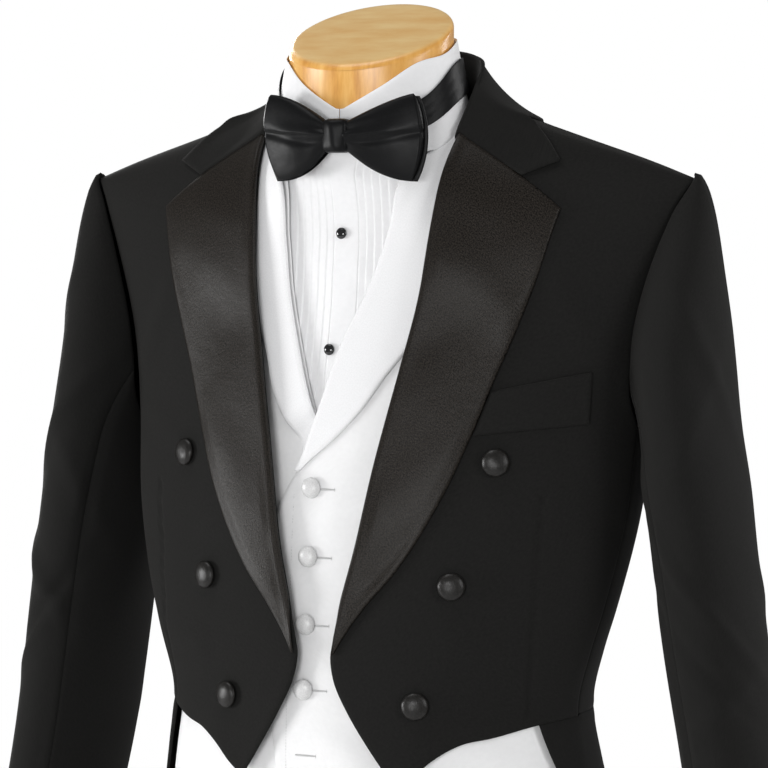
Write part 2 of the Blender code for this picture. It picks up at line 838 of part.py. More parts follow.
def sleeve(turn, along):
    """Point on the sleeve, along 0 at the armhole and 1 at the cuff."""
    angle, seam_z = armhole_point(turn)
    tiny = 1e-4
    seam = body_point(angle, seam_z)
    above = body_point(angle, np.minimum(seam_z, SHOULDER_TIP_Z - tiny))
    up = above - body_point(angle, seam_z - 2 * tiny)
    round_body = body_point(angle + tiny, seam_z) - body_point(angle - tiny, seam_z)
    normal = np.cross(round_body, up)
    normal /= np.linalg.norm(normal, axis=-1, keepdims=True) + 1e-12
    seam = seam + normal * SLEEVE_LIFT
    seam[..., 0] += 0.0010 * np.clip(np.cos(turn), 0.0, 1.0) ** 8
    seam[..., 2] = np.minimum(seam[..., 2], SHOULDER_TIP_Z + SLEEVE_LIFT)
    height = blend(seam_z, CUFF_Z, along)
    shift = seam - sleeve_tube(turn, seam_z)
    outside = np.clip(np.cos(turn), 0.0, 1.0) ** 2
    fade = (1.0 - np.clip(along / 0.24, 0.0, 1.0)) ** blend(2.6, 7.0, outside)
    return sleeve_tube(turn, height) + shift * fade[..., None]


def sleeve_axis(points):
    across, depth = read(SLEEVE, points[..., 2])[:2]
    return np.stack([across, depth, points[..., 2] - 0.01], axis=-1)


# Waistcoat and shirt front


def inner_body(angle, height):
    """Body surface for the layers under the coat, set back behind the open fronts."""
    point = body_point(angle, height)
    front = np.clip(np.cos(angle), 0.0, 1.0) ** 3
    point[..., 1] += VEST_SETBACK * front * smooth((1.46 - height) / 0.10)
    return point


def vest_front_surface(neck, sign):
    def place(u, v):
        inner_z = blend(VEST_POINT_Z, VEST_NECK_Z, v)
        side_z = blend(VEST_SIDE_Z, VEST_TIP_Z, v)
        start = angle_at(sign * read(neck, inner_z), inner_z)
        armhole = read(VEST_ARMHOLE_FRONT, side_z)
        end = np.radians(np.where(side_z < VEST_ARMHOLE_LOW_Z, SIDE_SEAM_DEGREES, armhole))
        angle = blend(start, sign * end, u)
        height = blend(inner_z, side_z, u)
        across = np.abs(body_point(angle, height)[..., 0])
        hem_rise = read(VEST_HEM, across) - blend(VEST_POINT_Z, VEST_SIDE_Z, u)
        line = shoulder_height(angle, height)
        shoulder_rise = line - blend(VEST_NECK_Z, VEST_TIP_Z, u)
        height = height + hem_rise * (1.0 - v) ** 8 + shoulder_rise * v ** 6
        return inner_body(angle, np.minimum(height, line))

    return place


def vest_back(u, v):
    """u runs from one side seam round the back to the other."""
    share = 1.0 - np.abs(2.0 * u - 1.0)
    side_z = blend(VEST_SIDE_Z, VEST_TIP_Z, v)
    middle_z = blend(VEST_SIDE_Z, VEST_BACK_NECK_Z, v)
    edge = np.where(side_z < VEST_ARMHOLE_LOW_Z, SIDE_SEAM_DEGREES, read(VEST_ARMHOLE_REAR, side_z))
    angle = blend(np.radians(edge), math.pi, share)
    height = blend(side_z, middle_z, share)
    line = shoulder_height(angle, height)
    neck_angle = angle_at(VEST_NECK_X, VEST_NECK_Z, behind=True)
    neck = smooth((angle - neck_angle) / (math.pi - neck_angle))
    top = np.where(angle > neck_angle, blend(line, VEST_BACK_NECK_Z, neck), line)
    rise = top - blend(VEST_TIP_Z, VEST_BACK_NECK_Z, share)
    height = np.minimum(height + rise * v ** 8, line)
    points = body_point(angle, height)
    points[..., 0] *= np.where(u > 0.5, -1.0, 1.0)
    return points


def vest_lapel_surface(neck, edge, sign, foot_z, edge_foot_z):
    def place(u, v):
        inner_z = blend(foot_z, 1.5040, v)
        outer_z = blend(edge_foot_z, 1.4880, v)
        start = angle_at(sign * read(neck, inner_z), inner_z)
        end = angle_at(sign * read(edge, outer_z), outer_z)
        angle = blend(start, end, u)
        height = blend(inner_z, outer_z, u)
        return inner_body(angle, np.minimum(height, shoulder_height(angle, height) - 0.0005))

    return place


def right_front_out(u, v):
    """The wearer's right front dips under the left one near its edge."""
    return VEST_OUT - VEST_UNDERLAP * smooth((0.42 - u) / 0.16)


def shirt_front(u, v):
    """u from -1 to 1 round the neck, v from the low edge to the collar seam."""
    round_neck = np.radians(SHIRT_NECK_DEGREES) * u
    top = read(SHIRT_COLLAR, np.abs(np.degrees(round_neck)).clip(2.0))[1] - 0.0006
    height = blend(SHIRT_LOW_Z, top, v)
    angle = np.radians(blend(SHIRT_LOW_DEGREES, SHIRT_HIGH_DEGREES, v)) * u
    body = inner_body(angle, height)
    body[..., 1] -= SHIRT_OUT * np.cos(angle)
    body[..., 0] += SHIRT_OUT * np.sin(angle)
    neck = neck_ring(round_neck, np.maximum(height, top - 0.004))
    share = smooth((height - SHIRT_TURN_Z) / (top - SHIRT_TURN_Z))[..., None]
    mixed = blend(body, neck, share)
    hollow = share[..., 0] * (1.0 - share[..., 0]) * np.abs(u)
    mixed[..., 1] += SHIRT_HOLLOW * hollow
    mixed[..., 2] = height
    return mixed


def pleat_out(u, v):
    """Flat placket in the middle and small pleats at both sides of it."""
    beside = (np.abs(u) - PLACKET_HALF_SHARE) / (BIB_HALF_SHARE - PLACKET_HALF_SHARE)
    wave = np.abs(np.round(beside * PLEATS_A_SIDE * 2.0)) % 2.0
    bib = (beside > 0.01) & (beside < 0.99)
    placket = np.abs(u) <= PLACKET_HALF_SHARE + 1e-6
    lift = np.where(bib, wave * PLEAT_HEIGHT, 0.0) + np.where(placket, PLEAT_HEIGHT, 0.0)
    return lift * (1.0 - 0.9 * v ** 6)


def neck_ring(turn, height, extra=0.0):
    """Ellipse round the neck at a height, turn 0 at the front and growing to the left."""
    fall = COLLAR_TOP_Z - height
    radius_x = COLLAR_RADIUS_X + COLLAR_FLARE_X * fall + extra
    radius_y = COLLAR_RADIUS_Y + COLLAR_FLARE_Y * fall + extra
    x = radius_x * np.sin(turn)
    y = COLLAR_MIDDLE_Y - radius_y * np.cos(turn)
    return np.stack([x, y, height + 0.0 * x], axis=-1)


def neck_axis(points):
    centre = points.copy()
    centre[..., 0] = 0.0
    centre[..., 1] = COLLAR_MIDDLE_Y
    return centre


def band_surface(rows, extra):
    def place(u, v):
        """u in degrees round the neck from the front opening, v from the base to the top."""
        top, base = read(rows, 180.0 - np.abs(180.0 - u))
        return neck_ring(np.radians(u), blend(base, top, v), extra)

    return place


# Bow tie


def bow_wing(name, side, skin):
    """One wing: sections from the knot to the end, thick in the middle and folded once."""
    sections, around = 5, 12
    vertices, faces = [], []
    for index in range(sections + 1):
        share = index / sections
        x = blend(BOW_KNOT_HALF_WIDTH + 0.0004, BOW_HALF_WIDTH, share)
        half_height = blend(BOW_KNOT_HALF_HEIGHT * 0.86, BOW_END_HALF_HEIGHT, share ** 0.80)
        half_depth = blend(0.0062, 0.0030, share)
        back = 0.0050 * share ** 2
        for step in range(around):
            turn = 2.0 * math.pi * step / around
            height = half_height * np.sign(math.sin(turn)) * abs(math.sin(turn)) ** 0.8
            depth = half_depth * np.sign(math.cos(turn)) * abs(math.cos(turn)) ** 1.4
            lean = 0.0030 * share * (1.0 - abs(height) / max(half_height, 1e-6))
            vertices.append((
                BOW_CENTRE[0] + side * (x + lean),
                BOW_CENTRE[1] + back - depth,
                BOW_CENTRE[2] + height,
            ))
    for index in range(sections):
        for step in range(around):
            a = index * around + step
            b = index * around + (step + 1) % around
            faces.append((a, b, b + around, a + around))
    faces.append(tuple(range(around)))
    faces.append(tuple(sections * around + step for step in range(around)))
    return add_object(name, vertices, faces, skin)


def bow_knot(name, skin):
    """Band round the middle of the bow: a rounded block."""
    rows = (
        # share of the height, half width, half depth
        (-1.00, 0.0066, 0.0045),
        (-0.80, 0.0084, 0.0070),
        (0.00, BOW_KNOT_HALF_WIDTH - 0.0004, 0.0080),
        (0.80, 0.0084, 0.0070),
        (1.00, 0.0066, 0.0045),
    )
    around = 12
    vertices, faces = [], []
    for share, half_width, half_depth in rows:
        for step in range(around):
            turn = 2.0 * math.pi * step / around
            wide = half_width * np.sign(math.cos(turn)) * abs(math.cos(turn)) ** 0.6
            deep = half_depth * np.sign(math.sin(turn)) * abs(math.sin(turn)) ** 0.6
            vertices.append((
                BOW_CENTRE[0] + wide,
                BOW_CENTRE[1] + deep,
                BOW_CENTRE[2] + BOW_KNOT_HALF_HEIGHT * share,
            ))
    for index in range(len(rows) - 1):
        for step in range(around):
            a = index * around + step
            b = index * around + (step + 1) % around
            faces.append((a, b, b + around, a + around))
    faces.append(tuple(range(around)))
    top = (len(rows) - 1) * around
    faces.append(tuple(top + step for step in range(around)))
    return add_object(name, vertices, faces, skin)


# Trousers


def trouser(u, height):
    """u 0 at the inner seam, 1 at the side seam and 2 at the inner seam behind."""
    across, depth, half_width, half_depth = read(LEG, height)
    turn = math.pi * u
    leg = np.stack([
        across - half_width * np.cos(turn),
        depth - half_depth * np.sin(turn),
        height + 0.0 * turn,
    ], axis=-1)
    body = inner_body(np.minimum(turn / 2.0, math.pi - 1e-4), height)
    share = smooth((height - CROTCH_Z) / (SEAT_Z - CROTCH_Z))[..., None]
    return blend(leg, body, share)


def trouser_out(u, height):
    return TROUSER_OUT * smooth((height - CROTCH_Z) / (SEAT_Z - CROTCH_Z))


def leg_axis(points):
    centre = points.copy()
    across = read(LEG, points[..., 2])[0]
    share = smooth((points[..., 2] - CROTCH_Z) / (SEAT_Z - CROTCH_Z))
    centre[..., 0] = across * (1.0 - share)
    centre[..., 1] = -0.012
    return centre


# Dress form


def form_torso(skin):
    """Smooth closed torso from the hips to the seat of the neck block."""
    around = TORSO_SEGMENTS
    rings = []
    for height in (FORM_LOW_Z, 0.980, 1.010, 1.045, 1.085, 1.150, 1.220, 1.290, 1.350, 1.400):
        ring = []
        for step in range(around):
            turn = 2.0 * math.pi * step / around
            point, normal = body_normal(turn, height)
            inward = point + normal * FORM_OUT
            inward[1] += VEST_SETBACK * max(math.cos(turn), 0.0) ** 3
            inward[0] *= 1.0 - 0.06 * smooth((height - 1.25) / 0.15)
            inward[2] = height
            ring.append(inward)
        rings.append(np.array(ring))
    shoulder = rings[-1]
    neck = []
    for step in range(around):
        turn = 2.0 * math.pi * step / around
        neck.append((0.0575 * math.sin(turn), -0.0430 - 0.0440 * math.cos(turn), NECK_SEAT_Z - 0.0006))
    neck = np.array(neck)
    for share in (0.16, 0.34, 0.54, 0.76, 1.0):
        ring = blend(shoulder, neck, share)
        ring[:, 1] = -0.03 + (ring[:, 1] + 0.03) * (1.0 - 0.20 * math.sin(math.pi * share))
        ring[:, 2] = blend(shoulder[:, 2], neck[:, 2], share ** 1.3)
        rings.append(ring)
    count = len(rings)
    vertices = np.concatenate(rings)
    faces = []
    for index in range(count - 1):
        for step in range(around):
            a = index * around + step
            b = index * around + (step + 1) % around
            faces.append((a, b, b + around, a + around))
    faces.append(tuple(range(around)))
    faces.append(tuple((count - 1) * around + step for step in range(around)))
    return add_object("form_torso", vertices, faces, skin)


def form_neck(skin):
    """Neck block: leans forward, cut on a slant at the top."""
    around = NECK_SEGMENTS
    vertices, faces = [], []
    heights = (0.0, 0.34, 0.68, 0.94, 1.0)
    for share in heights:
        shrink = 0.965 if share == 1.0 else 1.0
        for step in range(around):
            turn = 2.0 * math.pi * step / around
            top_z = blend(NECK_TOP_REAR_Z, NECK_TOP_FRONT_Z, (1.0 + math.cos(turn)) / 2.0)
            z = blend(NECK_SEAT_Z, top_z, share)
            shrink_low = NECK_TUCK if share == 0.0 else 0.0
            inside = -(SHIRT_WALL + NECK_GAP) - shrink_low
            low = neck_ring(np.array(turn), np.array(min(z, COLLAR_TOP_Z)), inside)
            high = np.array((
                NECK_RADIUS_X * math.sin(turn),
                NECK_TOP_Y - NECK_RADIUS_Y * math.cos(turn),
                z,
            ))
            point = blend(low, high, smooth((z - 1.50) / 0.05))
            point[0] *= shrink
            point[1] = blend(NECK_TOP_Y, point[1], shrink)
            point[2] = z
            vertices.append(point)
    for index in range(len(heights) - 1):
        for step in range(around):
            a = index * around + step
            b = index * around + (step + 1) % around
            faces.append((a, b, b + around, a + around))
    faces.append(tuple(range(around)))
    top = (len(heights) - 1) * around
    faces.append(tuple(top + step for step in range(around)))
    return add_object("form_neck", vertices, faces, skin)


def build_form():
    jersey = material("form_jersey", (0.62, 0.58, 0.50), 0.85)
    wood = material("form_wood", (0.72, 0.42, 0.17), 0.35)
    metal = material("form_metal", (0.06, 0.06, 0.06), 0.40, 0.6)
    form_torso(jersey)
    form_neck(wood)
    pole_length = FORM_LOW_Z - BASE_THICKNESS
    add_turned(
        "form_pole",
        ((POLE_RADIUS, 0.0003), (POLE_RADIUS, pole_length - 0.0003)),
        POLE_SEGMENTS, (POLE_X, POLE_Y, BASE_THICKNESS), (0, 0, 1), metal,
    )
    add_turned(
        "form_base",
        ((BASE_RADIUS, 0.0), (BASE_RADIUS, BASE_THICKNESS - 0.003), (BASE_RADIUS - 0.003, BASE_THICKNESS)),
        BASE_SEGMENTS, (0, 0, 0), (0, 0, 1), metal,
    )


def build_shirt():
    cotton = material("shirt_cotton", (0.86, 0.86, 0.87), 0.80)
    onyx = material("stud_black", (0.02, 0.02, 0.02), 0.20)
    edge = (BIB_HALF_SHARE - PLACKET_HALF_SHARE) / (PLEATS_A_SIDE * 2)
    bib = [PLACKET_HALF_SHARE + edge * index for index in range(1, PLEATS_A_SIDE * 2 + 1)]
    half = [0.0, PLACKET_HALF_SHARE, *bib, 1.0]
    columns = [-value for value in reversed(half[1:])] + half
    add_panel(
        "shirt_front", shirt_front, columns, steps(6, 0.0, 0.78) + [0.84, 0.89, 0.94, 1.0],
        cotton, pleat_out, SHIRT_WALL,
    )
    add_panel(
        "shirt_collar", band_surface(SHIRT_COLLAR, 0.0), steps(30, 1.0, 359.0), (0.0, 0.5, 1.0),
        cotton, 0.0, SHIRT_WALL, neck_axis,
    )
    for index, (across, height) in enumerate(STUDS, start=1):
        place = stud_seat(across, height)
        add_button("shirt_stud_%d" % index, place, (0, -1, 0.05), STUD_RADIUS, onyx, STUD_SEGMENTS)


def stud_seat(across, height):
    angle = angle_at(across, height)
    point = inner_body(np.array(angle), np.array(height))
    return (float(point[0]), float(point[1]) - SHIRT_OUT - PLEAT_HEIGHT - BUTTON_OUT, height)


def build_bow():
    satin = material("tie_satin", (0.03, 0.03, 0.032), 0.40)
    bow_wing("bow_wing_left", 1, satin)
    bow_wing("bow_wing_right", -1, satin)
    bow_knot("bow_knot", satin)
    add_panel(
        "bow_band", band_surface(TIE_BAND, TIE_BAND_OUT), steps(30, 6.0, 354.0), (0.0, 0.5, 1.0),
        satin, 0.0, TIE_WALL, neck_axis,
    )


def build_vest():
    pique = material("vest_pique", (0.86, 0.86, 0.87), 0.80)
    satin = material("vest_satin", (0.88, 0.88, 0.89), 0.45)
    rows = steps(9, 0.0, 0.78) + [0.86, 0.91, 0.95, 0.98, 1.0]
    add_panel(
        "vest_front_left", vest_front_surface(VEST_LEFT_NECK, 1.0), steps(8), rows,
        pique, VEST_OUT, VEST_WALL,
    )
    add_panel(
        "vest_front_right", vest_front_surface(VEST_RIGHT_NECK, -1.0), steps(9), rows,
        pique, right_front_out, VEST_WALL,
    )
    add_panel("vest_back", vest_back, steps(14), rows, pique, VEST_OUT, VEST_WALL)
    lapel_rows = steps(7, 0.0, 0.80) + [0.86, 0.90, 0.94, 0.97, 1.0]
    add_panel(
        "vest_lapel_left",
        vest_lapel_surface(VEST_LEFT_NECK, VEST_LEFT_LAPEL, 1.0, *VEST_LEFT_FOOT),
        steps(4), lapel_rows, satin, VEST_LAPEL_OUT, VEST_LAPEL_WALL,
    )
    add_panel(
        "vest_lapel_right",
        vest_lapel_surface(VEST_RIGHT_NECK, VEST_RIGHT_LAPEL, -1.0, *VEST_RIGHT_FOOT),
        steps(4), lapel_rows, satin, VEST_LAPEL_OUT, VEST_LAPEL_WALL,
    )
    for index, height in enumerate(VEST_BUTTON_HEIGHTS, start=1):
        angle = angle_at(VEST_BUTTON_X, height)
        point = inner_body(np.array(angle), np.array(height))
        place = (float(point[0]), float(point[1]) - VEST_OUT - VEST_BUTTON_OUT, height)
        add_button("vest_button_%d" % index, place, (0, -1, 0), VEST_BUTTON_RADIUS, satin)


SIDE_ROWS = 7
SKIRT_ROWS = 12


def coat_front_rows():
    """Rows at the heights of the side body's rows, then closer together to the shoulder."""
    armhole = (ARMHOLE_LOW_Z - WAIST_SEAM_Z) / (SHOULDER_TIP_Z - WAIST_SEAM_Z)
    return steps(SIDE_ROWS, 0.0, armhole) + [0.61, 0.68, 0.75, 0.81, 0.86, 0.91, 0.95, 0.98, 1.0]


def coat_back_rows():
    """Rows at the heights of the skirt's and the side body's rows, then up to the shoulder."""
    heights = steps(SKIRT_ROWS, TAIL_HEM_Z, WAIST_SEAM_Z)
    heights += steps(SIDE_ROWS, WAIST_SEAM_Z, BACK_SEAM_TOP_Z)[1:]
    rows = [(height - TAIL_HEM_Z) / (SHOULDER_TIP_Z - TAIL_HEM_Z) for height in heights]
    return rows + [0.90, 0.925, 0.95, 0.97, 0.985, 1.0]


def build_coat(side, label):
    wool = bpy.data.materials["coat_wool"]
    satin = bpy.data.materials["lapel_satin"]
    add_panel(
        "coat_front_" + label, coat_front, steps(10), coat_front_rows(), wool, 0.0, COAT_WALL, side=side,
    )
    add_panel("coat_side_" + label, coat_side, steps(5), steps(SIDE_ROWS), wool, 0.0, COAT_WALL, side=side)
    add_panel(
        "coat_back_" + label, coat_back, steps(7), coat_back_rows(), wool, 0.0, COAT_WALL,
        side=side, own_side=True,
    )
    add_panel(
        "coat_skirt_" + label, coat_skirt, steps(7), steps(SKIRT_ROWS), wool, 0.0, COAT_WALL, side=side,
    )
    add_panel(
        "coat_lapel_" + label, coat_lapel, (0.0, 0.10, 0.30, 0.65, 1.0), steps(12),
        satin, lapel_lift, LAPEL_WALL, side=side,
    )
    along = [0.0, 0.035, 0.07, 0.11, 0.15, 0.20, 0.25, *steps(7, 0.33, 1.0)]
    front, rear = math.radians(FRONT_SLEEVE_SEAM), math.radians(REAR_SLEEVE_SEAM)
    add_panel(
        "sleeve_top_" + label, sleeve, steps(12, rear - 2.0 * math.pi, front), along,
        wool, 0.0, SLEEVE_WALL, sleeve_axis, side,
    )
    add_panel(
        "sleeve_under_" + label, sleeve, steps(6, front, rear), along,
        wool, 0.0, SLEEVE_WALL, sleeve_axis, side,
    )
    for index, (across, height) in enumerate(COAT_BUTTONS, start=1):
        place, normal = seat_on_body(across, height, BUTTON_OUT)
        place[0] *= side
        normal[0] *= side
        add_button("coat_button_%s_%d" % (label, index), place, normal, COAT_BUTTON_RADIUS, satin)
    place, normal = seat_on_body(*WAIST_BUTTON, BUTTON_REAR_OUT, behind=True)
    place[0] *= side
    normal[0] *= side
    add_button("waist_button_" + label, place, normal, COAT_BUTTON_RADIUS, satin)


def build_coat_shared():
    wool = material("coat_wool", (0.013, 0.013, 0.012), 0.85)
    material("lapel_satin", (0.035, 0.032, 0.030), 0.35)
    add_panel(
        "coat_collar", coat_collar_surface(), steps(26, -1.0, 1.0),
        (-1.0, -0.5, -0.0001, 0.10, 0.35, NOTCH_SHARE, 1.0), wool, 0.0, COLLAR_WALL, collar_inside,
    )
    (x0, z0), (x1, z1), (x2, z2), (x3, z3) = WELT_CORNERS

    def welt(u, v):
        across = blend(blend(x0, x1, u), blend(x2, x3, u), v)
        height = blend(blend(z0, z1, u), blend(z2, z3, u), v)
        return body_point(angle_at(across, height), height)

    add_panel("breast_welt", welt, steps(4), (0.0, 1.0), wool, WELT_OUT, WELT_WALL)


def build_trousers(side, label):
    wool = bpy.data.materials["trouser_wool"]
    rows = [*steps(7, TROUSER_HEM_Z, 0.78), 0.83, 0.87, 0.91, 0.95, 1.0, TROUSER_TOP_Z]
    add_panel(
        "trouser_front_" + label, trouser, steps(7), rows, wool, trouser_out, TROUSER_WALL,
        leg_axis, side, own_side=True,
    )
    add_panel(
        "trouser_back_" + label, trouser, steps(7, 1.0, 2.0), rows, wool, trouser_out, TROUSER_WALL,
        leg_axis, side, own_side=True,
    )
    add_panel(
        "trouser_braid_" + label, trouser, (0.955, 1.0, 1.045), rows,
        bpy.data.materials["trouser_braid"], lambda u, v: trouser_out(u, v) + BRAID_OUT, BRAID_WALL,
        leg_axis, side,
    )


def build_all():
    clear_scene()
    build_form()
    build_shirt()
    build_bow()
    build_vest()
    build_coat_shared()
    build_coat(1, "left")
    build_coat(-1, "right")
    wool = material("trouser_wool", (0.014, 0.014, 0.013), 0.85)
    material("trouser_braid", (0.03, 0.03, 0.03), 0.40)
    build_trousers(1, "left")
    build_trousers(-1, "right")
    add_panel(
        "trouser_waistband", inner_body, steps(31, 0.0, 2.0 * math.pi * 31 / 32),
        (TROUSER_TOP_Z + SEAM_GAP, WAISTBAND_TOP_Z), wool, WAISTBAND_OUT, WAISTBAND_WALL, closed=True,
    )


build_all()
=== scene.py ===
# %% [markdown]
# # An evening suit on a dress form
#
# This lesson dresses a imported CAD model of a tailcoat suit. The CAD solids give the sizes and places.
# Here nearly every plain solid is stood in for by a finer piece that follows the same tables, so that the
# cloth can roll at its edges, crease, and carry a weave measured in real millimetres. A few sizes are set
# anew, such as the lapel's roll, the foot of the stand collar and the bow's wings.

# %% Load the frame
import json
import math

import bmesh
import bpy
import numpy as np
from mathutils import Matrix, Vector

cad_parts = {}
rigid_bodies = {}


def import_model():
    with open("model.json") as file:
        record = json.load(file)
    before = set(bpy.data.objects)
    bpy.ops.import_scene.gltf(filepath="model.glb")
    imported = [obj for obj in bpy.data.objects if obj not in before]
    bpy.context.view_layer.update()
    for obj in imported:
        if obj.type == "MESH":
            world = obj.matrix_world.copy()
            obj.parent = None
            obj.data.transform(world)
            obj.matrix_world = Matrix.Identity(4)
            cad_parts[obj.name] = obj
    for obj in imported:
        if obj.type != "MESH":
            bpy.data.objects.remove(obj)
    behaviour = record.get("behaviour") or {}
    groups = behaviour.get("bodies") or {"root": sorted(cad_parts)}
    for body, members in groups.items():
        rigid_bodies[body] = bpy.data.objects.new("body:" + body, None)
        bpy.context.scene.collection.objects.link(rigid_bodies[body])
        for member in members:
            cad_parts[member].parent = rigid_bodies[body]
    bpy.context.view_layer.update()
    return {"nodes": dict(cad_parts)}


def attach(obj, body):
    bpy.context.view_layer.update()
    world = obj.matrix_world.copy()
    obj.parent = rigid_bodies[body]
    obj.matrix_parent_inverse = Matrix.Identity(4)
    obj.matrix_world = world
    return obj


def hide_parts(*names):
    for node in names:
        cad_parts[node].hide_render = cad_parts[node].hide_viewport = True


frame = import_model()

# %% [markdown]
# ## Sizes and surfaces
#
# A tailor works from a few measures: half widths and depths by height, seam lines, edges. The tables
# below are those measures in metres. A smooth curve is read through each table, so a panel can be made
# as fine as it needs to be. Another way would be to subdivide the CAD mesh, but its corners would stay.

# %% Measures of the garment
# Driving sizes
COAT_WALL = 0.0020
VEST_WALL = 0.0013
VEST_LAPEL_WALL = 0.0022
SHIRT_WALL = 0.0010
LAPEL_WALL = 0.0018
TROUSER_WALL = 0.0015
SLEEVE_WALL = 0.0018
WELT_WALL = 0.0016
WAISTBAND_WALL = 0.0016
TIE_WALL = 0.0015
BRAID_WALL = 0.0010
SEAM_GAP = 0.0003
SHOULDER_TIP_Z = 1.4558
NECK_POINT_X = 0.0785
FRONT_POINT_Z = 1.031
WAIST_SEAM_Z = 1.0785
ARMHOLE_LOW_Z = 1.280
TAIL_HEM_Z = 0.545
TAIL_SLANT = 0.020
SKIRT_FRONT_Z = 1.0728
BACK_NECK_Z = 1.505
BACK_NECK_X = 0.0785
CUFF_Z = 0.840
TROUSER_HEM_Z = 0.036
TROUSER_TOP_Z = 1.046
WAISTBAND_TOP_Z = 1.086

# How far each layer's outer face lies inside the coat's outer face
VEST_OUT = -0.0066
VEST_LAPEL_OUT = -0.0034
VEST_UNDERLAP = 0.0024
SHIRT_OUT = -0.0130
WAISTBAND_OUT = -0.0118
TROUSER_OUT = -0.0122
VEST_SETBACK = 0.004
TIE_BAND_OUT = 0.0020
WELT_OUT = 0.0028
BRAID_OUT = 0.0018
LAPEL_OUT = 0.0036

# Coat surface by height: half width, front and rear depth, and the middle between them
BODY = (
    # height, half_width, front, rear, middle
    (0.540, 0.166, -0.118, 0.108, -0.014),
    (0.750, 0.176, -0.130, 0.118, -0.017),
    (0.870, 0.182, -0.137, 0.124, -0.019),
    (0.960, 0.182, -0.138, 0.118, -0.026),
    (1.000, 0.175, -0.139, 0.104, -0.032),
    (1.040, 0.167, -0.140, 0.089, -0.036),
    (1.085, 0.162, -0.139, 0.078, -0.038),
    (1.120, 0.171, -0.1365, 0.074, -0.039),
    (1.150, 0.180, -0.134, 0.078, -0.037),
    (1.220, 0.195, -0.128, 0.100, -0.029),
    (1.290, 0.201, -0.118, 0.112, -0.022),
    (1.350, 0.209, -0.107, 0.116, -0.021),
    (1.410, 0.228, -0.098, 0.110, -0.020),
    (1.460, 0.248, -0.090, 0.098, -0.020),
    (1.520, 0.262, -0.070, 0.082, -0.020),
)
FRONT_POWER = 1.8
REAR_POWER = 2.2
SHOULDER_DEPTH = 0.13
SHOULDER_POWER = 2.2
NECK_RISE = 0.080
NECK_REACH = 0.085
NECK_PUSH = 0.016
NECK_PUSH_Z = 1.475
NECK_PUSH_WIDTH = 0.070
NECK_PUSH_HEIGHT = 0.035

# Shoulder line from the neck outwards
SHOULDER = (
    # across, height
    (0.000, 1.5200),
    (0.070, 1.5110),
    (0.110, 1.5000),
    (0.160, 1.4840),
    (0.210, 1.4675),
    (0.245, 1.4545),
    (0.300, 1.4360),
)

# Coat front: cutaway edge, then roll line, then neck, as a distance from the middle
COAT_EDGE = (
    # height, across
    (1.0310, 0.0620),
    (1.0418, 0.0540),
    (1.0600, 0.0415),
    (1.0828, 0.0272),
    (1.1033, 0.0170),
    (1.1200, 0.0138),
    (1.1480, 0.0180),
    (1.1973, 0.0297),
    (1.2559, 0.0405),
    (1.3221, 0.0542),
    (1.3773, 0.0650),
    (1.4232, 0.0695),
    (1.4570, 0.0728),
    (1.4877, 0.0768),
    (1.5090, NECK_POINT_X),
)
COAT_HEM = (
    # across, height
    (0.0600, 1.0310),
    (0.0750, 1.0405),
    (0.0865, 1.0500),
    (0.1060, 1.0615),
    (0.1245, 1.0660),
    (0.1475, 1.0735),
    (0.1700, WAIST_SEAM_Z),
)
LAPEL_EDGE = (
    # height, across
    (1.1180, 0.0135),
    (1.1240, 0.0160),
    (1.1540, 0.0350),
    (1.1792, 0.0560),
    (1.2332, 0.0875),
    (1.2756, 0.1045),
    (1.3180, 0.1190),
    (1.3470, 0.1298),
    (1.3880, 0.1438),
    (1.4183, 0.1515),
    (1.4340, 0.1555),
)
LAPEL_FOOT_Z = 1.122
LAPEL_TIP_Z = 1.434
GORGE_Z = 1.4862

# Armhole, as an angle round the body from the middle of the front
ARMHOLE_FRONT = (
    # height, degrees
    (1.2800, 88.0),
    (1.3010, 78.8),
    (1.3336, 75.2),
    (1.3667, 74.0),
    (1.4156, 74.0),
    (1.4400, 75.2),
    (SHOULDER_TIP_Z, 79.0),
)
ARMHOLE_REAR = (
    # height, degrees
    (1.2800, 92.0),
    (1.3000, 99.5),
    (1.3400, 104.5),
    (1.3800, 106.5),
    (1.4156, 107.0),
    (1.4400, 105.0),
    (SHOULDER_TIP_Z, 102.1),
)
SIDE_SEAM_DEGREES = 88.0
ARMHOLE_LAP_DEGREES = 2.4
BACK_SEAM = (
    # height, degrees
    (0.540, 152.0),
    (0.750, 146.0),
    (0.950, 137.0),
    (1.0785, 129.0),
    (1.150, 125.5),
    (1.220, 119.5),
    (1.280, 112.0),
    (1.340, 104.5),
)
BACK_SEAM_TOP_Z = 1.340
TAIL_FRONT = (
    # height, degrees
    (0.560, 149.0),
    (0.650, 141.0),
    (0.750, 129.0),
    (0.850, 113.0),
    (0.950, 92.0),
    (1.000, 80.0),
    (1.045, 71.0),
    (1.0735, 67.0),
)

# Sleeve centre line and section: forward and sideways half widths, and the outward turn
SLEEVE = (
    # height, across, depth, half_fore, half_side, degrees
    (0.830, 0.3010, -0.0320, 0.0530, 0.0310, 10.0),
    (0.950, 0.2850, -0.0200, 0.0545, 0.0325, 12.0),
    (1.040, 0.2700, -0.0135, 0.0560, 0.0345, 12.0),
    (1.145, 0.2530, -0.0145, 0.0575, 0.0360, 12.0),
    (1.195, 0.2458, -0.0135, 0.0600, 0.0360, 10.0),
    (1.240, 0.2395, -0.0125, 0.0620, 0.0360, 7.0),
    (1.280, 0.2345, -0.0130, 0.0620, 0.0340, 5.0),
    (1.340, 0.2240, -0.0150, 0.0580, 0.0385, 0.0),
    (1.400, 0.2130, -0.0180, 0.0460, 0.0445, 0.0),
    (1.460, 0.2090, -0.0200, 0.0300, 0.0450, 0.0),
)
FRONT_SLEEVE_SEAM = 128.0
REAR_SLEEVE_SEAM = 246.0
SLEEVE_LIFT = 0.0034

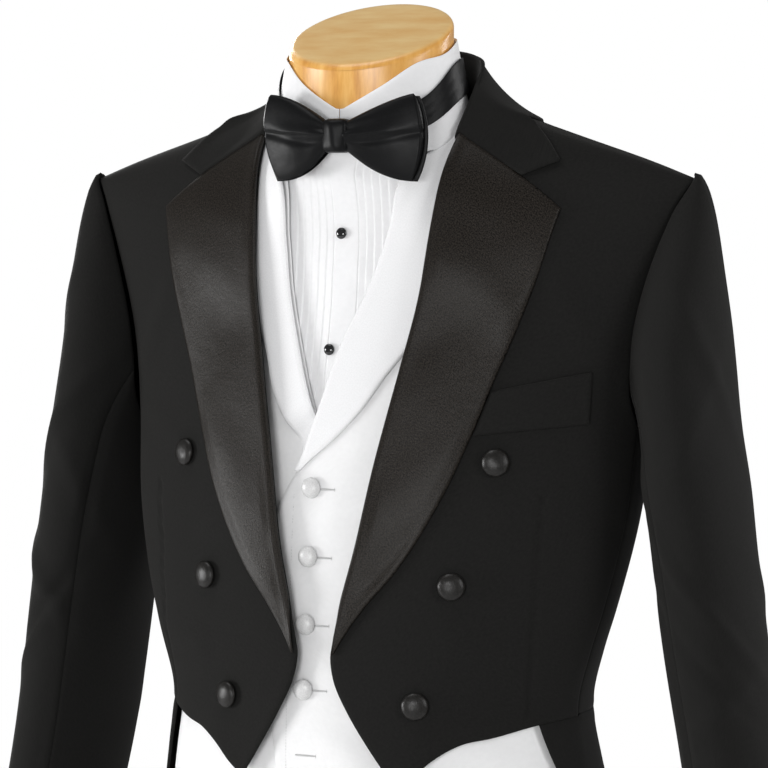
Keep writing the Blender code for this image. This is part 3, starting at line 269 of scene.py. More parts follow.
# Collar ring of the coat: fold line and outer edge, from the middle of the back
COLLAR_FOLD = (
    # place, across, depth, height
    (0.00, 0.0000, 0.0300, 1.5490),
    (0.18, 0.0330, 0.0250, 1.5480),
    (0.36, 0.0590, 0.0080, 1.5430),
    (0.54, 0.0725, -0.0150, 1.5340),
    (0.70, 0.0765, -0.0350, 1.5200),
    (0.85, 0.0780, -0.0500, 1.5050),
    (1.00, 0.0785, -0.0648, 1.4893),
)
COLLAR_EDGE = (
    # place, across, height, behind
    (0.00, 0.0000, 1.4850, 1.0),
    (0.18, 0.0450, 1.4860, 1.0),
    (0.36, 0.0820, 1.4880, 1.0),
    (0.52, 0.1030, 1.4940, 1.0),
    (0.64, 0.1150, 1.4972, 0.0),
    (0.76, 0.1275, 1.4890, 0.0),
    (0.88, 0.1385, 1.4795, 0.0),
    (1.00, 0.1500, 1.4670, 0.0),
)
NOTCH_X = 0.1275
NOTCH_Z = 1.4576
NOTCH_SHARE = 0.64
COLLAR_WALL = 0.0026
COLLAR_LIFT = 0.0048
COLLAR_HOLLOW = 0.009

# Waistcoat, in real sides: across is +X on the wearer's left
VEST_LEFT_NECK = (
    # height, across
    (0.9850, -0.0305),
    (1.2420, -0.0305),
    (1.2500, -0.0255),
    (1.2870, -0.0120),
    (1.3450, 0.0067),
    (1.3711, 0.0195),
    (1.4185, 0.0370),
    (1.4557, 0.0485),
    (1.4800, 0.0670),
    (1.4983, 0.0790),
    (1.5090, 0.0800),
)
VEST_RIGHT_NECK = (
    # height, across, positive towards the wearer's right
    (0.9850, -0.0060),
    (1.2300, -0.0060),
    (1.2600, 0.0020),
    (1.2870, 0.0133),
    (1.3060, 0.0210),
    (1.3381, 0.0320),
    (1.3745, 0.0420),
    (1.4096, 0.0470),
    (1.4560, 0.0541),
    (1.4800, 0.0680),
    (1.4983, 0.0790),
    (1.5090, 0.0800),
)
VEST_LEFT_LAPEL = (
    # height, across
    (1.2450, -0.0275),
    (1.2561, -0.0160),
    (1.2728, 0.0039),
    (1.2915, 0.0217),
    (1.3176, 0.0400),
    (1.3373, 0.0550),
    (1.3700, 0.0720),
    (1.4200, 0.0880),
    (1.4900, 0.1060),
)
VEST_RIGHT_LAPEL = (
    # height, across, positive towards the wearer's right
    (1.2700, 0.0240),
    (1.2836, 0.0361),
    (1.3030, 0.0485),
    (1.3324, 0.0586),
    (1.3700, 0.0740),
    (1.4200, 0.0880),
    (1.4900, 0.1060),
)
# Heights of a lapel's foot at the neck edge and at the outer edge
VEST_LEFT_FOOT = (1.2500, 1.2500)
VEST_POINT_Z = 0.9850
VEST_SIDE_Z = 1.0220
VEST_NECK_Z = 1.5085
VEST_TIP_Z = 1.4857
VEST_BACK_NECK_Z = 1.4800
VEST_NECK_X = 0.0800
VEST_ARMHOLE_LOW_Z = 1.240
VEST_ARMHOLE_FRONT = (
    # height, degrees
    (1.2400, 88.0),
    (1.2700, 79.0),
    (1.3200, 63.0),
    (1.3800, 50.0),
    (1.4300, 43.5),
    (1.4857, 40.4),
)
VEST_ARMHOLE_REAR = (
    # height, degrees
    (1.2400, 88.0),
    (1.2700, 100.0),
    (1.3200, 116.0),
    (1.3800, 129.0),
    (1.4300, 135.0),
    (1.4857, 145.0),
)
VEST_HEM = (
    # across, height
    (0.000, 0.9960),
    (0.045, 0.9840),
    (0.100, 1.0050),
    (0.160, 1.0200),
    (0.190, 1.0220),
)

# Shirt front: shares are of the half width, degrees are round the body or the neck
PLEATS_A_SIDE = 6
PLEAT_HEIGHT = 0.0008
PLACKET_HALF_SHARE = 0.20
BIB_HALF_SHARE = 0.80
SHIRT_LOW_Z = 1.170
SHIRT_TURN_Z = 1.457
SHIRT_HOLLOW = 0.020
SHIRT_LOW_DEGREES = 26.0
SHIRT_HIGH_DEGREES = 16.0
SHIRT_NECK_DEGREES = 52.0

# Stand collar of the shirt: radii grow downwards from the top
COLLAR_MIDDLE_Y = -0.043
COLLAR_TOP_Z = 1.552
COLLAR_RADIUS_X = 0.0632
COLLAR_RADIUS_Y = 0.0497
COLLAR_FLARE_X = 0.20
COLLAR_FLARE_Y = 0.05
SHIRT_COLLAR = (
    # degrees_from_front, top, base
    (2.0, 1.5045, 1.4790),
    (25.0, 1.5200, 1.4810),
    (50.0, 1.5365, 1.4870),
    (75.0, 1.5430, 1.4960),
    (100.0, 1.5520, 1.5080),
    (140.0, 1.5570, 1.5180),
    (180.0, 1.5580, 1.5200),
)
TIE_BAND = (
    # degrees_from_front, top, base
    (8.0, 1.4960, 1.4780),
    (50.0, 1.5115, 1.4915),
    (83.0, 1.5360, 1.5110),
    (130.0, 1.5420, 1.5200),
    (180.0, 1.5440, 1.5220),
)
NECK_TOP_FRONT_Z = 1.535
NECK_TOP_REAR_Z = 1.583
NECK_RADIUS_X = 0.0615
NECK_RADIUS_Y = 0.0480
NECK_TOP_Y = -0.0455
NECK_SEAT_Z = 1.4860
NECK_TUCK = 0.0070
NECK_GAP = 0.0007

# Trouser leg sections
LEG = (
    # height, across, depth, half_width, half_depth
    (0.030, 0.1010, -0.0020, 0.0620, 0.0790),
    (0.300, 0.0990, -0.0040, 0.0660, 0.0810),
    (0.500, 0.0965, -0.0070, 0.0710, 0.0840),
    (0.700, 0.0925, -0.0110, 0.0795, 0.0915),
    (0.820, 0.0900, -0.0130, 0.0860, 0.1020),
    (0.940, 0.0890, -0.0120, 0.0870, 0.1120),
)
CROTCH_Z = 0.820
SEAT_Z = 0.930

BOW_CENTRE = (0.004, -0.1060, 1.4855)
BOW_END_HALF_HEIGHT = 0.0305
BOW_KNOT_HALF_HEIGHT = 0.0120
BOW_KNOT_HALF_WIDTH = 0.0095

COAT_BUTTONS = (
    # across, height
    (0.1235, 1.2580),
    (0.0975, 1.1718),
    (0.0745, 1.0880),
)
WAIST_BUTTON = (0.055, 1.0900)
BUTTON_OUT = 0.0007
BUTTON_REAR_OUT = 0.0012
VEST_BUTTON_OUT = 0.0004
VEST_BUTTON_X = -0.0115
VEST_BUTTON_HEIGHTS = (1.2372, 1.1888, 1.1411, 1.0954)
STUDS = (
    # across, height
    (-0.0035, 1.4165),
    (-0.0085, 1.3342),
)
COAT_BUTTON_RADIUS = 0.0098
VEST_BUTTON_RADIUS = 0.0075
STUD_RADIUS = 0.0041

WELT_CORNERS = (
    # across, height
    (0.1078, 1.2770),
    (0.1778, 1.2850),
    (0.1182, 1.3070),
    (0.1793, 1.3202),
)

# %% Smooth reading of the tables
def smooth(value):
    share = np.clip(value, 0.0, 1.0)
    return share * share * (3.0 - 2.0 * share)


def blend(start, end, share):
    return start + (end - start) * share


def read(rows, place):
    """Smooth values of a table's later columns at a place in its first column."""
    data = np.array(rows, dtype=float)
    along = data[:, 0]
    place = np.asarray(place, dtype=float)
    step = np.clip(np.searchsorted(along, place) - 1, 0, len(along) - 2)
    length = along[step + 1] - along[step]
    share = np.clip((place - along[step]) / length, 0.0, 1.0)
    found = []
    for column in range(1, data.shape[1]):
        values = data[:, column]
        slopes = np.gradient(values, along)
        cube, square = share ** 3, share ** 2
        found.append(
            (2 * cube - 3 * square + 1) * values[step]
            + (cube - 2 * square + share) * length * slopes[step]
            + (3 * square - 2 * cube) * values[step + 1]
            + (cube - square) * length * slopes[step + 1]
        )
    return found if len(found) > 1 else found[0]

# %% The body under the coat
def body_point(angle, height):
    """Point on the coat's outer surface at an angle from the middle of the front."""
    half, front, rear, middle = read(BODY, height)
    behind = np.cos(angle) < 0.0
    power = np.where(behind, REAR_POWER, FRONT_POWER)
    across = half * np.sign(np.sin(angle)) * np.abs(np.sin(angle)) ** (2.0 / power)
    line = read(SHOULDER, np.abs(across))
    line = line + np.where(behind, 0.0, NECK_RISE * smooth(1.0 - np.abs(across) / NECK_REACH))
    below = np.clip((line - height) / SHOULDER_DEPTH, 0.0, 1.0)
    round_over = (1.0 - (1.0 - below) ** SHOULDER_POWER) ** (1.0 / SHOULDER_POWER)
    depth = np.abs(np.cos(angle)) ** (2.0 / power) * round_over
    y = np.where(behind, middle + (rear - middle) * depth, middle - (middle - front) * depth)
    beside_neck = (across / NECK_PUSH_WIDTH) ** 2 + ((height - NECK_PUSH_Z) / NECK_PUSH_HEIGHT) ** 2
    near_neck = np.exp(-beside_neck)
    y = y - np.where(behind, 0.0, NECK_PUSH * near_neck * np.abs(np.cos(angle)))
    return np.stack([across, y, height + 0.0 * across], axis=-1)


def angle_at(across, height, behind=False):
    """Angle round the body of the point at a distance across and a height."""
    half = read(BODY, height)[0]
    power = REAR_POWER if behind else FRONT_POWER
    share = np.clip(np.abs(across) / half, 0.0, 1.0) ** (power / 2.0)
    angle = np.arcsin(share) * np.sign(across)
    return math.pi - angle if behind else angle


def shoulder_height(angle, height):
    """Height of the shoulder line above the point at this angle."""
    for _ in range(3):
        height = read(SHOULDER, np.abs(body_point(angle, height)[..., 0]))
    return height


def body_axis(points):
    centre = points.copy()
    centre[..., 0] = 0.0
    centre[..., 1] = -0.02
    centre[..., 2] -= 0.03
    return centre

# %% Points and normals of a surface
def surface(function, u_values, v_values, inside):
    """Grid of points and of unit normals that point away from the inside points."""
    u, v = np.meshgrid(np.array(u_values, float), np.array(v_values, float))
    tiny = 1e-4
    u_low, u_high = np.maximum(u - tiny, min(u_values)), np.minimum(u + tiny, max(u_values))
    v_low, v_high = np.maximum(v - tiny, min(v_values)), np.minimum(v + tiny, max(v_values))
    points = function(u, v)
    along = function(u_high, v) - function(u_low, v)
    up = function(u, v_high) - function(u, v_low)
    normals = np.cross(along, up)
    normals /= np.linalg.norm(normals, axis=-1, keepdims=True) + 1e-12
    side = np.sum((points - inside(points)) * normals, axis=-1)
    if side.mean() < 0.0:
        normals = -normals
    return points, normals


def inset_border(grid, gap, closed=False):
    """Grid whose outer rows and columns are drawn in by half a seam gap."""
    moved = grid.copy()
    for edge, next_in in ((0, 1), (-1, -2)):
        step = grid[next_in] - grid[edge]
        length = np.linalg.norm(step, axis=-1, keepdims=True) + 1e-9
        moved[edge] += step / length * gap / 2.0
        if not closed:
            step = grid[:, next_in] - grid[:, edge]
            length = np.linalg.norm(step, axis=-1, keepdims=True) + 1e-9
            moved[:, edge] += step / length * gap / 2.0
    return moved


def body_normal(angle, height):
    """Point on the body and its outward direction."""
    tiny = 1e-3
    points, normals = surface(
        body_point, (angle - tiny, angle, angle + tiny), (height - tiny, height, height + tiny), body_axis
    )
    return points[1, 1], normals[1, 1]


def seat_on_body(across, height, out, behind=False):
    """Point and outward direction on the body, lifted by out."""
    point, normal = body_normal(float(angle_at(across, height, behind)), height)
    return point + normal * out, normal

# %% Coat panels
def under_sleeve(height):
    """Degrees by which a body panel runs on under the lifted edge of the sleeve."""
    share = (height - ARMHOLE_LOW_Z) / (SHOULDER_TIP_Z - ARMHOLE_LOW_Z)
    return ARMHOLE_LAP_DEGREES * smooth(share / 0.25) * smooth((1.0 - share) / 0.25)


def coat_front_place(u, v):
    low_z = blend(FRONT_POINT_Z, COAT_EDGE[-1][0], v)
    side_z = blend(WAIST_SEAM_Z, SHOULDER_TIP_Z, v)
    inner = angle_at(read(COAT_EDGE, low_z), low_z)
    outer = np.radians(read(ARMHOLE_FRONT, side_z))
    outer = outer + np.radians(under_sleeve(side_z))
    outer = np.where(side_z < ARMHOLE_LOW_Z, math.radians(SIDE_SEAM_DEGREES), outer)
    angle = blend(inner, outer, u)
    height = blend(low_z, side_z, u)
    across = body_point(angle, height)[..., 0]
    hem_rise = read(COAT_HEM, across) - blend(FRONT_POINT_Z, WAIST_SEAM_Z, u)
    line = shoulder_height(angle, height)
    shoulder_rise = line - blend(COAT_EDGE[-1][0], SHOULDER_TIP_Z, u)
    height = height + hem_rise * (1.0 - v) ** 8 + shoulder_rise * v ** 6
    return angle, np.minimum(height, line)


def coat_side(u, v):
    top = ARMHOLE_LOW_Z + (BACK_SEAM_TOP_Z - ARMHOLE_LOW_Z) * u ** 3.2
    height = blend(WAIST_SEAM_Z, top, v)
    front = math.radians(SIDE_SEAM_DEGREES)
    return body_point(blend(front, np.radians(read(BACK_SEAM, height)), u), height)


def back_left_edge(height):
    seam = read(BACK_SEAM, height)
    armhole = read(ARMHOLE_REAR, height) - under_sleeve(height)
    return np.radians(np.where(height > BACK_SEAM_TOP_Z, armhole, seam))


def coat_back(u, v):
    """One back from the tail's hem to the neck and shoulder, u from the seam to the middle."""
    angle_top = angle_at(BACK_NECK_X, VEST_NECK_Z, behind=True)
    side_z = blend(TAIL_HEM_Z, SHOULDER_TIP_Z, v)
    middle_z = blend(TAIL_HEM_Z, BACK_NECK_Z, v)
    height = blend(side_z, middle_z, u)
    outer = back_left_edge(side_z)
    angle = blend(outer, math.pi, u)
    line = shoulder_height(angle, height)
    neck = smooth((angle - angle_top) / (math.pi - angle_top))
    top = np.where(angle > angle_top, blend(line, BACK_NECK_Z, neck), line)
    rise = top - blend(SHOULDER_TIP_Z, BACK_NECK_Z, u)
    height = height + rise * v ** 8
    return body_point(angle, np.minimum(height, line))


def coat_skirt(u, v):
    """Tail piece from its curved front edge to the back seam."""
    seam_front_z = SKIRT_FRONT_Z
    seam_rear_z = WAIST_SEAM_Z - 0.0010
    front_z = blend(TAIL_HEM_Z + TAIL_SLANT, seam_front_z, v)
    rear_z = blend(TAIL_HEM_Z, seam_rear_z, v)
    front = np.radians(read(TAIL_FRONT, front_z))
    rear = np.radians(read(BACK_SEAM, rear_z))
    angle = blend(front, rear, u)
    height = blend(front_z, rear_z, u)
    across = np.abs(body_point(angle, height)[..., 0])
    forward = np.cos(angle) > 0.0
    seam = np.where(forward, read(COAT_HEM, across), WAIST_SEAM_Z) - 0.0008
    rise = seam - blend(seam_front_z, seam_rear_z, u)
    return body_point(angle, height + rise * v ** 10)

# %% Lapel and collar
def coat_lapel(u, v):
    inner_z = blend(LAPEL_FOOT_Z, GORGE_Z, v)
    outer_z = blend(LAPEL_FOOT_Z + 0.001, LAPEL_TIP_Z, v)
    inner = angle_at(read(COAT_EDGE, inner_z), inner_z)
    outer = angle_at(read(LAPEL_EDGE, outer_z) + 0.0012, outer_z)
    return body_point(blend(inner, outer, u), blend(inner_z, outer_z, u))


def collar_edge_points():
    """Outer edge of the coat collar, lying just above the coat."""
    found = []
    for place, across, height, behind in COLLAR_EDGE:
        point, _ = seat_on_body(max(across, 1e-4), height, COLLAR_LIFT, behind > 0.5)
        found.append((place, *point))
    return found


def coat_collar_surface():
    edge_rows = collar_edge_points()
    notch, _ = seat_on_body(NOTCH_X, NOTCH_Z, COLLAR_LIFT)
    fold_end = np.array(COLLAR_FOLD[-1][1:])
    edge_end = np.array(edge_rows[-1][1:])

    def place(u, v):
        """u runs from one front end round the back to the other, v from stand to edge."""
        along = np.abs(u)
        fold = np.stack(read(COLLAR_FOLD, along), axis=-1)
        edge = np.stack(read(edge_rows, along), axis=-1)
        near_front = smooth((along - 0.70) / 0.30)[..., None]
        middle = blend(fold, edge, 0.40) - np.array((0.0, 0.0, COLLAR_HOLLOW))
        leaf = np.clip(v, 0.0, 1.0)[..., None]
        hollow = fold * (1 - leaf) ** 2 + 2 * middle * leaf * (1 - leaf) + edge * leaf ** 2
        gorge = blend(fold_end, notch, leaf / NOTCH_SHARE)
        end = blend(notch, edge_end, (leaf - NOTCH_SHARE) / (1.0 - NOTCH_SHARE))
        cut = np.where(leaf < NOTCH_SHARE, gorge, end) - blend(fold_end, edge_end, leaf)
        outside = blend(hollow, blend(fold, edge, leaf) + cut, near_front)
        drop = np.clip(-v, 0.0, 1.0)[..., None]
        depth = blend(0.026, 0.006, smooth((along - 0.55) / 0.40))[..., None]
        centre = np.array((0.0, COLLAR_MIDDLE_Y, 0.0))
        inward = centre - fold
        inward[..., 2] = 0.0
        inward /= np.linalg.norm(inward, axis=-1, keepdims=True)
        bend = 4.0 * drop * (1.0 - drop)
        stand = fold + inward * (0.0032 * drop + 0.0016 * bend)
        stand[..., 2] -= (drop * depth)[..., 0]
        facing = (along > 0.62) & (outside[..., 2] < read(SHOULDER, outside[..., 0]) - 0.002)
        body = body_point(angle_at(outside[..., 0], outside[..., 2]), outside[..., 2])[..., 1]
        lifted = np.minimum(outside[..., 1], body - COLLAR_LIFT)
        outside[..., 1] = np.where(facing, lifted, outside[..., 1])
        points = np.where(v[..., None] >= 0.0, outside, stand)
        points[..., 0] *= np.where(u < 0.0, -1.0, 1.0)
        return points

    return place


def collar_inside(points):
    """Points between the collar's leaf and its stand, seen from the outer face."""
    centre = points.copy()
    centre[..., 0] *= 0.9
    centre[..., 1] = blend(COLLAR_MIDDLE_Y, centre[..., 1], 0.9)
    centre[..., 2] -= 0.02
    return centre

# %% Sleeves
def armhole_point(turn):
    """Point of the armhole seam for a turn round the sleeve, 0 at the shoulder."""
    middle = (SHOULDER_TIP_Z + ARMHOLE_LOW_Z) / 2
    height = middle + (SHOULDER_TIP_Z - middle) * np.cos(turn)
    front = np.radians(read(ARMHOLE_FRONT, height))
    rear = np.radians(read(ARMHOLE_REAR, height))
    angle = np.where(np.sin(turn) >= 0.0, front, rear)
    return angle, height


def sleeve_tube(turn, height):
    across, depth, half_fore, half_side, degrees = read(SLEEVE, height)
    twist = np.radians(degrees)
    sideways = half_side * np.cos(turn)
    forward = -half_fore * np.sin(turn)
    x = across + sideways * np.cos(twist) - forward * np.sin(twist)
    y = depth + forward * np.cos(twist) + sideways * np.sin(twist)
    return np.stack([x, y, height + 0.0 * x], axis=-1)


def sleeve(turn, along):
    """Point on the sleeve, along 0 at the armhole and 1 at the cuff."""
    angle, seam_z = armhole_point(turn)
    tiny = 1e-4
    seam = body_point(angle, seam_z)
    above = body_point(angle, np.minimum(seam_z, SHOULDER_TIP_Z - tiny))
    up = above - body_point(angle, seam_z - 2 * tiny)
    round_body = body_point(angle + tiny, seam_z) - body_point(angle - tiny, seam_z)
    normal = np.cross(round_body, up)
    normal /= np.linalg.norm(normal, axis=-1, keepdims=True) + 1e-12
    seam = seam + normal * SLEEVE_LIFT
    seam[..., 0] += 0.0010 * np.clip(np.cos(turn), 0.0, 1.0) ** 8
    seam[..., 2] = np.minimum(seam[..., 2], SHOULDER_TIP_Z + SLEEVE_LIFT)
    height = blend(seam_z, CUFF_Z, along)
    shift = seam - sleeve_tube(turn, seam_z)
    outside = np.clip(np.cos(turn), 0.0, 1.0) ** 2
    fade = (1.0 - np.clip(along / 0.24, 0.0, 1.0)) ** blend(2.6, 7.0, outside)
    return sleeve_tube(turn, height) + shift * fade[..., None]


def sleeve_axis(points):
    across, depth = read(SLEEVE, points[..., 2])[:2]
    return np.stack([across, depth, points[..., 2] - 0.01], axis=-1)

# %% Waistcoat
def inner_body(angle, height):
    """Body surface for the layers under the coat, set back behind the open fronts."""
    point = body_point(angle, height)
    front = np.clip(np.cos(angle), 0.0, 1.0) ** 3
    point[..., 1] += VEST_SETBACK * front * smooth((1.46 - height) / 0.10)
    return point


def vest_front_surface(neck, sign):
    def place(u, v):
        inner_z = blend(VEST_POINT_Z, VEST_NECK_Z, v)
        side_z = blend(VEST_SIDE_Z, VEST_TIP_Z, v)
        start = angle_at(sign * read(neck, inner_z), inner_z)
        armhole = read(VEST_ARMHOLE_FRONT, side_z)
        end = np.radians(np.where(side_z < VEST_ARMHOLE_LOW_Z, SIDE_SEAM_DEGREES, armhole))
        angle = blend(start, sign * end, u)
        height = blend(inner_z, side_z, u)
        across = np.abs(body_point(angle, height)[..., 0])
        hem_rise = read(VEST_HEM, across) - blend(VEST_POINT_Z, VEST_SIDE_Z, u)
        line = shoulder_height(angle, height)
        shoulder_rise = line - blend(VEST_NECK_Z, VEST_TIP_Z, u)
        height = height + hem_rise * (1.0 - v) ** 8 + shoulder_rise * v ** 6
        return inner_body(angle, np.minimum(height, line))

    return place


def vest_back(u, v):
    """u runs from one side seam round the back to the other."""
    share = 1.0 - np.abs(2.0 * u - 1.0)
    side_z = blend(VEST_SIDE_Z, VEST_TIP_Z, v)
    middle_z = blend(VEST_SIDE_Z, VEST_BACK_NECK_Z, v)
    edge = np.where(side_z < VEST_ARMHOLE_LOW_Z, SIDE_SEAM_DEGREES, read(VEST_ARMHOLE_REAR, side_z))
    angle = blend(np.radians(edge), math.pi, share)
    height = blend(side_z, middle_z, share)
    line = shoulder_height(angle, height)
    neck_angle = angle_at(VEST_NECK_X, VEST_NECK_Z, behind=True)
    neck = smooth((angle - neck_angle) / (math.pi - neck_angle))
    top = np.where(angle > neck_angle, blend(line, VEST_BACK_NECK_Z, neck), line)
    rise = top - blend(VEST_TIP_Z, VEST_BACK_NECK_Z, share)
    height = np.minimum(height + rise * v ** 8, line)
    points = body_point(angle, height)
    points[..., 0] *= np.where(u > 0.5, -1.0, 1.0)
    return points


def vest_lapel_surface(neck, edge, sign, foot_z, edge_foot_z):
    def place(u, v):
        inner_z = blend(foot_z, 1.5040, v)
        outer_z = blend(edge_foot_z, 1.4880, v)
        start = angle_at(sign * read(neck, inner_z), inner_z)
        end = angle_at(sign * read(edge, outer_z), outer_z)
        angle = blend(start, end, u)
        height = blend(inner_z, outer_z, u)
        return inner_body(angle, np.minimum(height, shoulder_height(angle, height) - 0.0005))

    return place


def right_front_out(u, v):
    """The wearer's right front dips under the left one near its edge."""
    return VEST_OUT - VEST_UNDERLAP * smooth((0.42 - u) / 0.16)

# %% Shirt, stand collar and tie band
def neck_ring(turn, height, extra=0.0):
    """Ellipse round the neck at a height, turn 0 at the front and growing to the left."""
    fall = COLLAR_TOP_Z - height
    radius_x = COLLAR_RADIUS_X + COLLAR_FLARE_X * fall + extra
    radius_y = COLLAR_RADIUS_Y + COLLAR_FLARE_Y * fall + extra
    x = radius_x * np.sin(turn)
    y = COLLAR_MIDDLE_Y - radius_y * np.cos(turn)
    return np.stack([x, y, height + 0.0 * x], axis=-1)


def neck_axis(points):
    centre = points.copy()
    centre[..., 0] = 0.0
    centre[..., 1] = COLLAR_MIDDLE_Y
    return centre


def band_surface(rows, extra):
    def place(u, v):
        """u in degrees round the neck from the front opening, v from the base to the top."""
        top, base = read(rows, 180.0 - np.abs(180.0 - u))
        return neck_ring(np.radians(u), blend(base, top, v), extra)

    return place


def shirt_front(u, v):
    """u from -1 to 1 round the neck, v from the low edge to the collar seam."""
    round_neck = np.radians(SHIRT_NECK_DEGREES) * u
    top = read(SHIRT_COLLAR, np.abs(np.degrees(round_neck)).clip(2.0))[1] - 0.0006
    height = blend(SHIRT_LOW_Z, top, v)
    angle = np.radians(blend(SHIRT_LOW_DEGREES, SHIRT_HIGH_DEGREES, v)) * u
    body = inner_body(angle, height)
    body[..., 1] -= SHIRT_OUT * np.cos(angle)
    body[..., 0] += SHIRT_OUT * np.sin(angle)
    neck = neck_ring(round_neck, np.maximum(height, top - 0.004))
    share = smooth((height - SHIRT_TURN_Z) / (top - SHIRT_TURN_Z))[..., None]
    mixed = blend(body, neck, share)
    hollow = share[..., 0] * (1.0 - share[..., 0]) * np.abs(u)
    mixed[..., 1] += SHIRT_HOLLOW * hollow
    mixed[..., 2] = height
    return mixed

# %% Trouser legs
def trouser(u, height):
    """u 0 at the inner seam, 1 at the side seam and 2 at the inner seam behind."""
    across, depth, half_width, half_depth = read(LEG, height)
    turn = math.pi * u
    leg = np.stack([
        across - half_width * np.cos(turn),
        depth - half_depth * np.sin(turn),
        height + 0.0 * turn,
    ], axis=-1)
    body = inner_body(np.minimum(turn / 2.0, math.pi - 1e-4), height)
    share = smooth((height - CROTCH_Z) / (SEAT_Z - CROTCH_Z))[..., None]
    return blend(leg, body, share)


def trouser_out(u, height):
    return TROUSER_OUT * smooth((height - CROTCH_Z) / (SEAT_Z - CROTCH_Z))


def leg_axis(points):
    centre = points.copy()
    across = read(LEG, points[..., 2])[0]
    share = smooth((points[..., 2] - CROTCH_Z) / (SEAT_Z - CROTCH_Z))
    centre[..., 0] = across * (1.0 - share)
    centre[..., 1] = -0.012
    return centre

print("chest half width", round(float(read(BODY, 1.35)[0]), 4))

# %% [markdown]
# ## From a surface to a piece of cloth
#
# Real cloth has two faces and a soft edge where it is turned in or rolled. Solidify could add the
# thickness, but building both faces directly keeps the edge round and lets the weave follow the cloth
# through a UV map in metres, so that one weave setting serves every panel.

# %% Lengths along a grid
def arc_lengths(grid, axis):
    step = np.linalg.norm(np.diff(grid, axis=axis), axis=-1)
    total = np.cumsum(step, axis=axis)
    start = np.zeros_like(np.take(total, [0], axis=axis))
    return np.concatenate([start, total], axis=axis)


def border_distance(grid, closed):
    """Distance of each grid point from the nearest cut edge."""
    along, up = arc_lengths(grid, 1), arc_lengths(grid, 0)
    nearest = np.minimum(up, up[-1:] - up)
    if not closed:
        nearest = np.minimum(nearest, np.minimum(along, along[:, -1:] - along))
    return nearest


# %% Mesh of a two-faced cloth with a rounded edge
def cloth_mesh(name, outer, inner, closed=False):
    """Outer and inner grids joined by a rounded edge, with a UV map in metres."""
    rows, columns = outer.shape[:2]
    count = rows * columns
    middle = (outer + inner) / 2.0
    wall = np.linalg.norm(outer - inner, axis=-1, keepdims=True)
    bulge = middle.copy()
    for edge, following in ((0, 1), (-1, -2)):
        push = middle[edge] - middle[following]
        bulge[edge] += push / (np.linalg.norm(push, axis=-1, keepdims=True) + 1e-9) * wall[edge] * EDGE_BULGE
        if not closed:
            push = middle[:, edge] - middle[:, following]
            push /= np.linalg.norm(push, axis=-1, keepdims=True) + 1e-9
            bulge[:, edge] += push * wall[:, edge] * EDGE_BULGE
    vertices = np.concatenate([outer.reshape(-1, 3), inner.reshape(-1, 3), bulge.reshape(-1, 3)])
    index = np.arange(count).reshape(rows, columns)
    wrap = np.concatenate([index, index[:, :1]], axis=1) if closed else index
    quads = np.stack([wrap[:-1, :-1], wrap[:-1, 1:], wrap[1:, 1:], wrap[1:, :-1]], axis=-1).reshape(-1, 4)
    faces = [quads, quads[:, ::-1] + count]
    borders = [wrap[0], wrap[-1][::-1]]
    if not closed:
        borders += [index[::-1, 0], index[:, -1]]
    for border in borders:
        a, b = border[:-1], border[1:]
        faces.append(np.stack([b, a, a + 2 * count, b + 2 * count], axis=-1))
        faces.append(np.stack([b + 2 * count, a + 2 * count, a + count, b + count], axis=-1))
    faces = np.concatenate(faces)
    mesh = bpy.data.meshes.new(name)
    mesh.from_pydata(vertices.tolist(), [], faces.tolist())
    along, up = arc_lengths(outer, 1), arc_lengths(outer, 0)
    flat = np.stack([along.reshape(-1), up.reshape(-1)], axis=-1)
    uv = np.concatenate([flat, flat, flat])
    layer = mesh.uv_layers.new(name="cloth")
    corners = np.empty(len(mesh.loops), dtype=np.int64)
    mesh.loops.foreach_get("vertex_index", corners)
    layer.data.foreach_set("uv", uv[corners].reshape(-1))
    if outward_share(mesh) < 0.0:
        mesh.flip_normals()
    used = np.unique(faces)
    if len(used) < len(vertices):
        drop_loose(mesh)
    mesh.shade_smooth()
    return mesh


# %% Direction of the faces, and loose points
EDGE_BULGE = 0.45


def outward_share(mesh):
    """Signed volume: above zero when the faces of a closed mesh point outwards."""
    mesh.calc_loop_triangles()
    points = np.empty(len(mesh.vertices) * 3)
    mesh.vertices.foreach_get("co", points)
    points = points.reshape(-1, 3)
    corners = np.empty(len(mesh.loop_triangles) * 3, dtype=np.int64)
    mesh.loop_triangles.foreach_get("vertices", corners)
    a, b, c = (points[corners.reshape(-1, 3)[:, k]] for k in range(3))
    return float(np.einsum("ij,ij->", a, np.cross(b, c)))


def drop_loose(mesh):
    shape = bmesh.new()
    shape.from_mesh(mesh)
    loose = [vertex for vertex in shape.verts if not vertex.link_faces]
    bmesh.ops.delete(shape, geom=loose, context="VERTS")
    shape.to_mesh(mesh)
    shape.free()


def add_piece(name, mesh, finish, nodes=()):
    """Object at the origin that stands for its CAD nodes and rides on the one body."""
    mesh.materials.append(finish)
    piece = bpy.data.objects.new(name, mesh)
    bpy.context.collection.objects.link(piece)
    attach(piece, "root")
    if nodes:
        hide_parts(*nodes)
    return piece
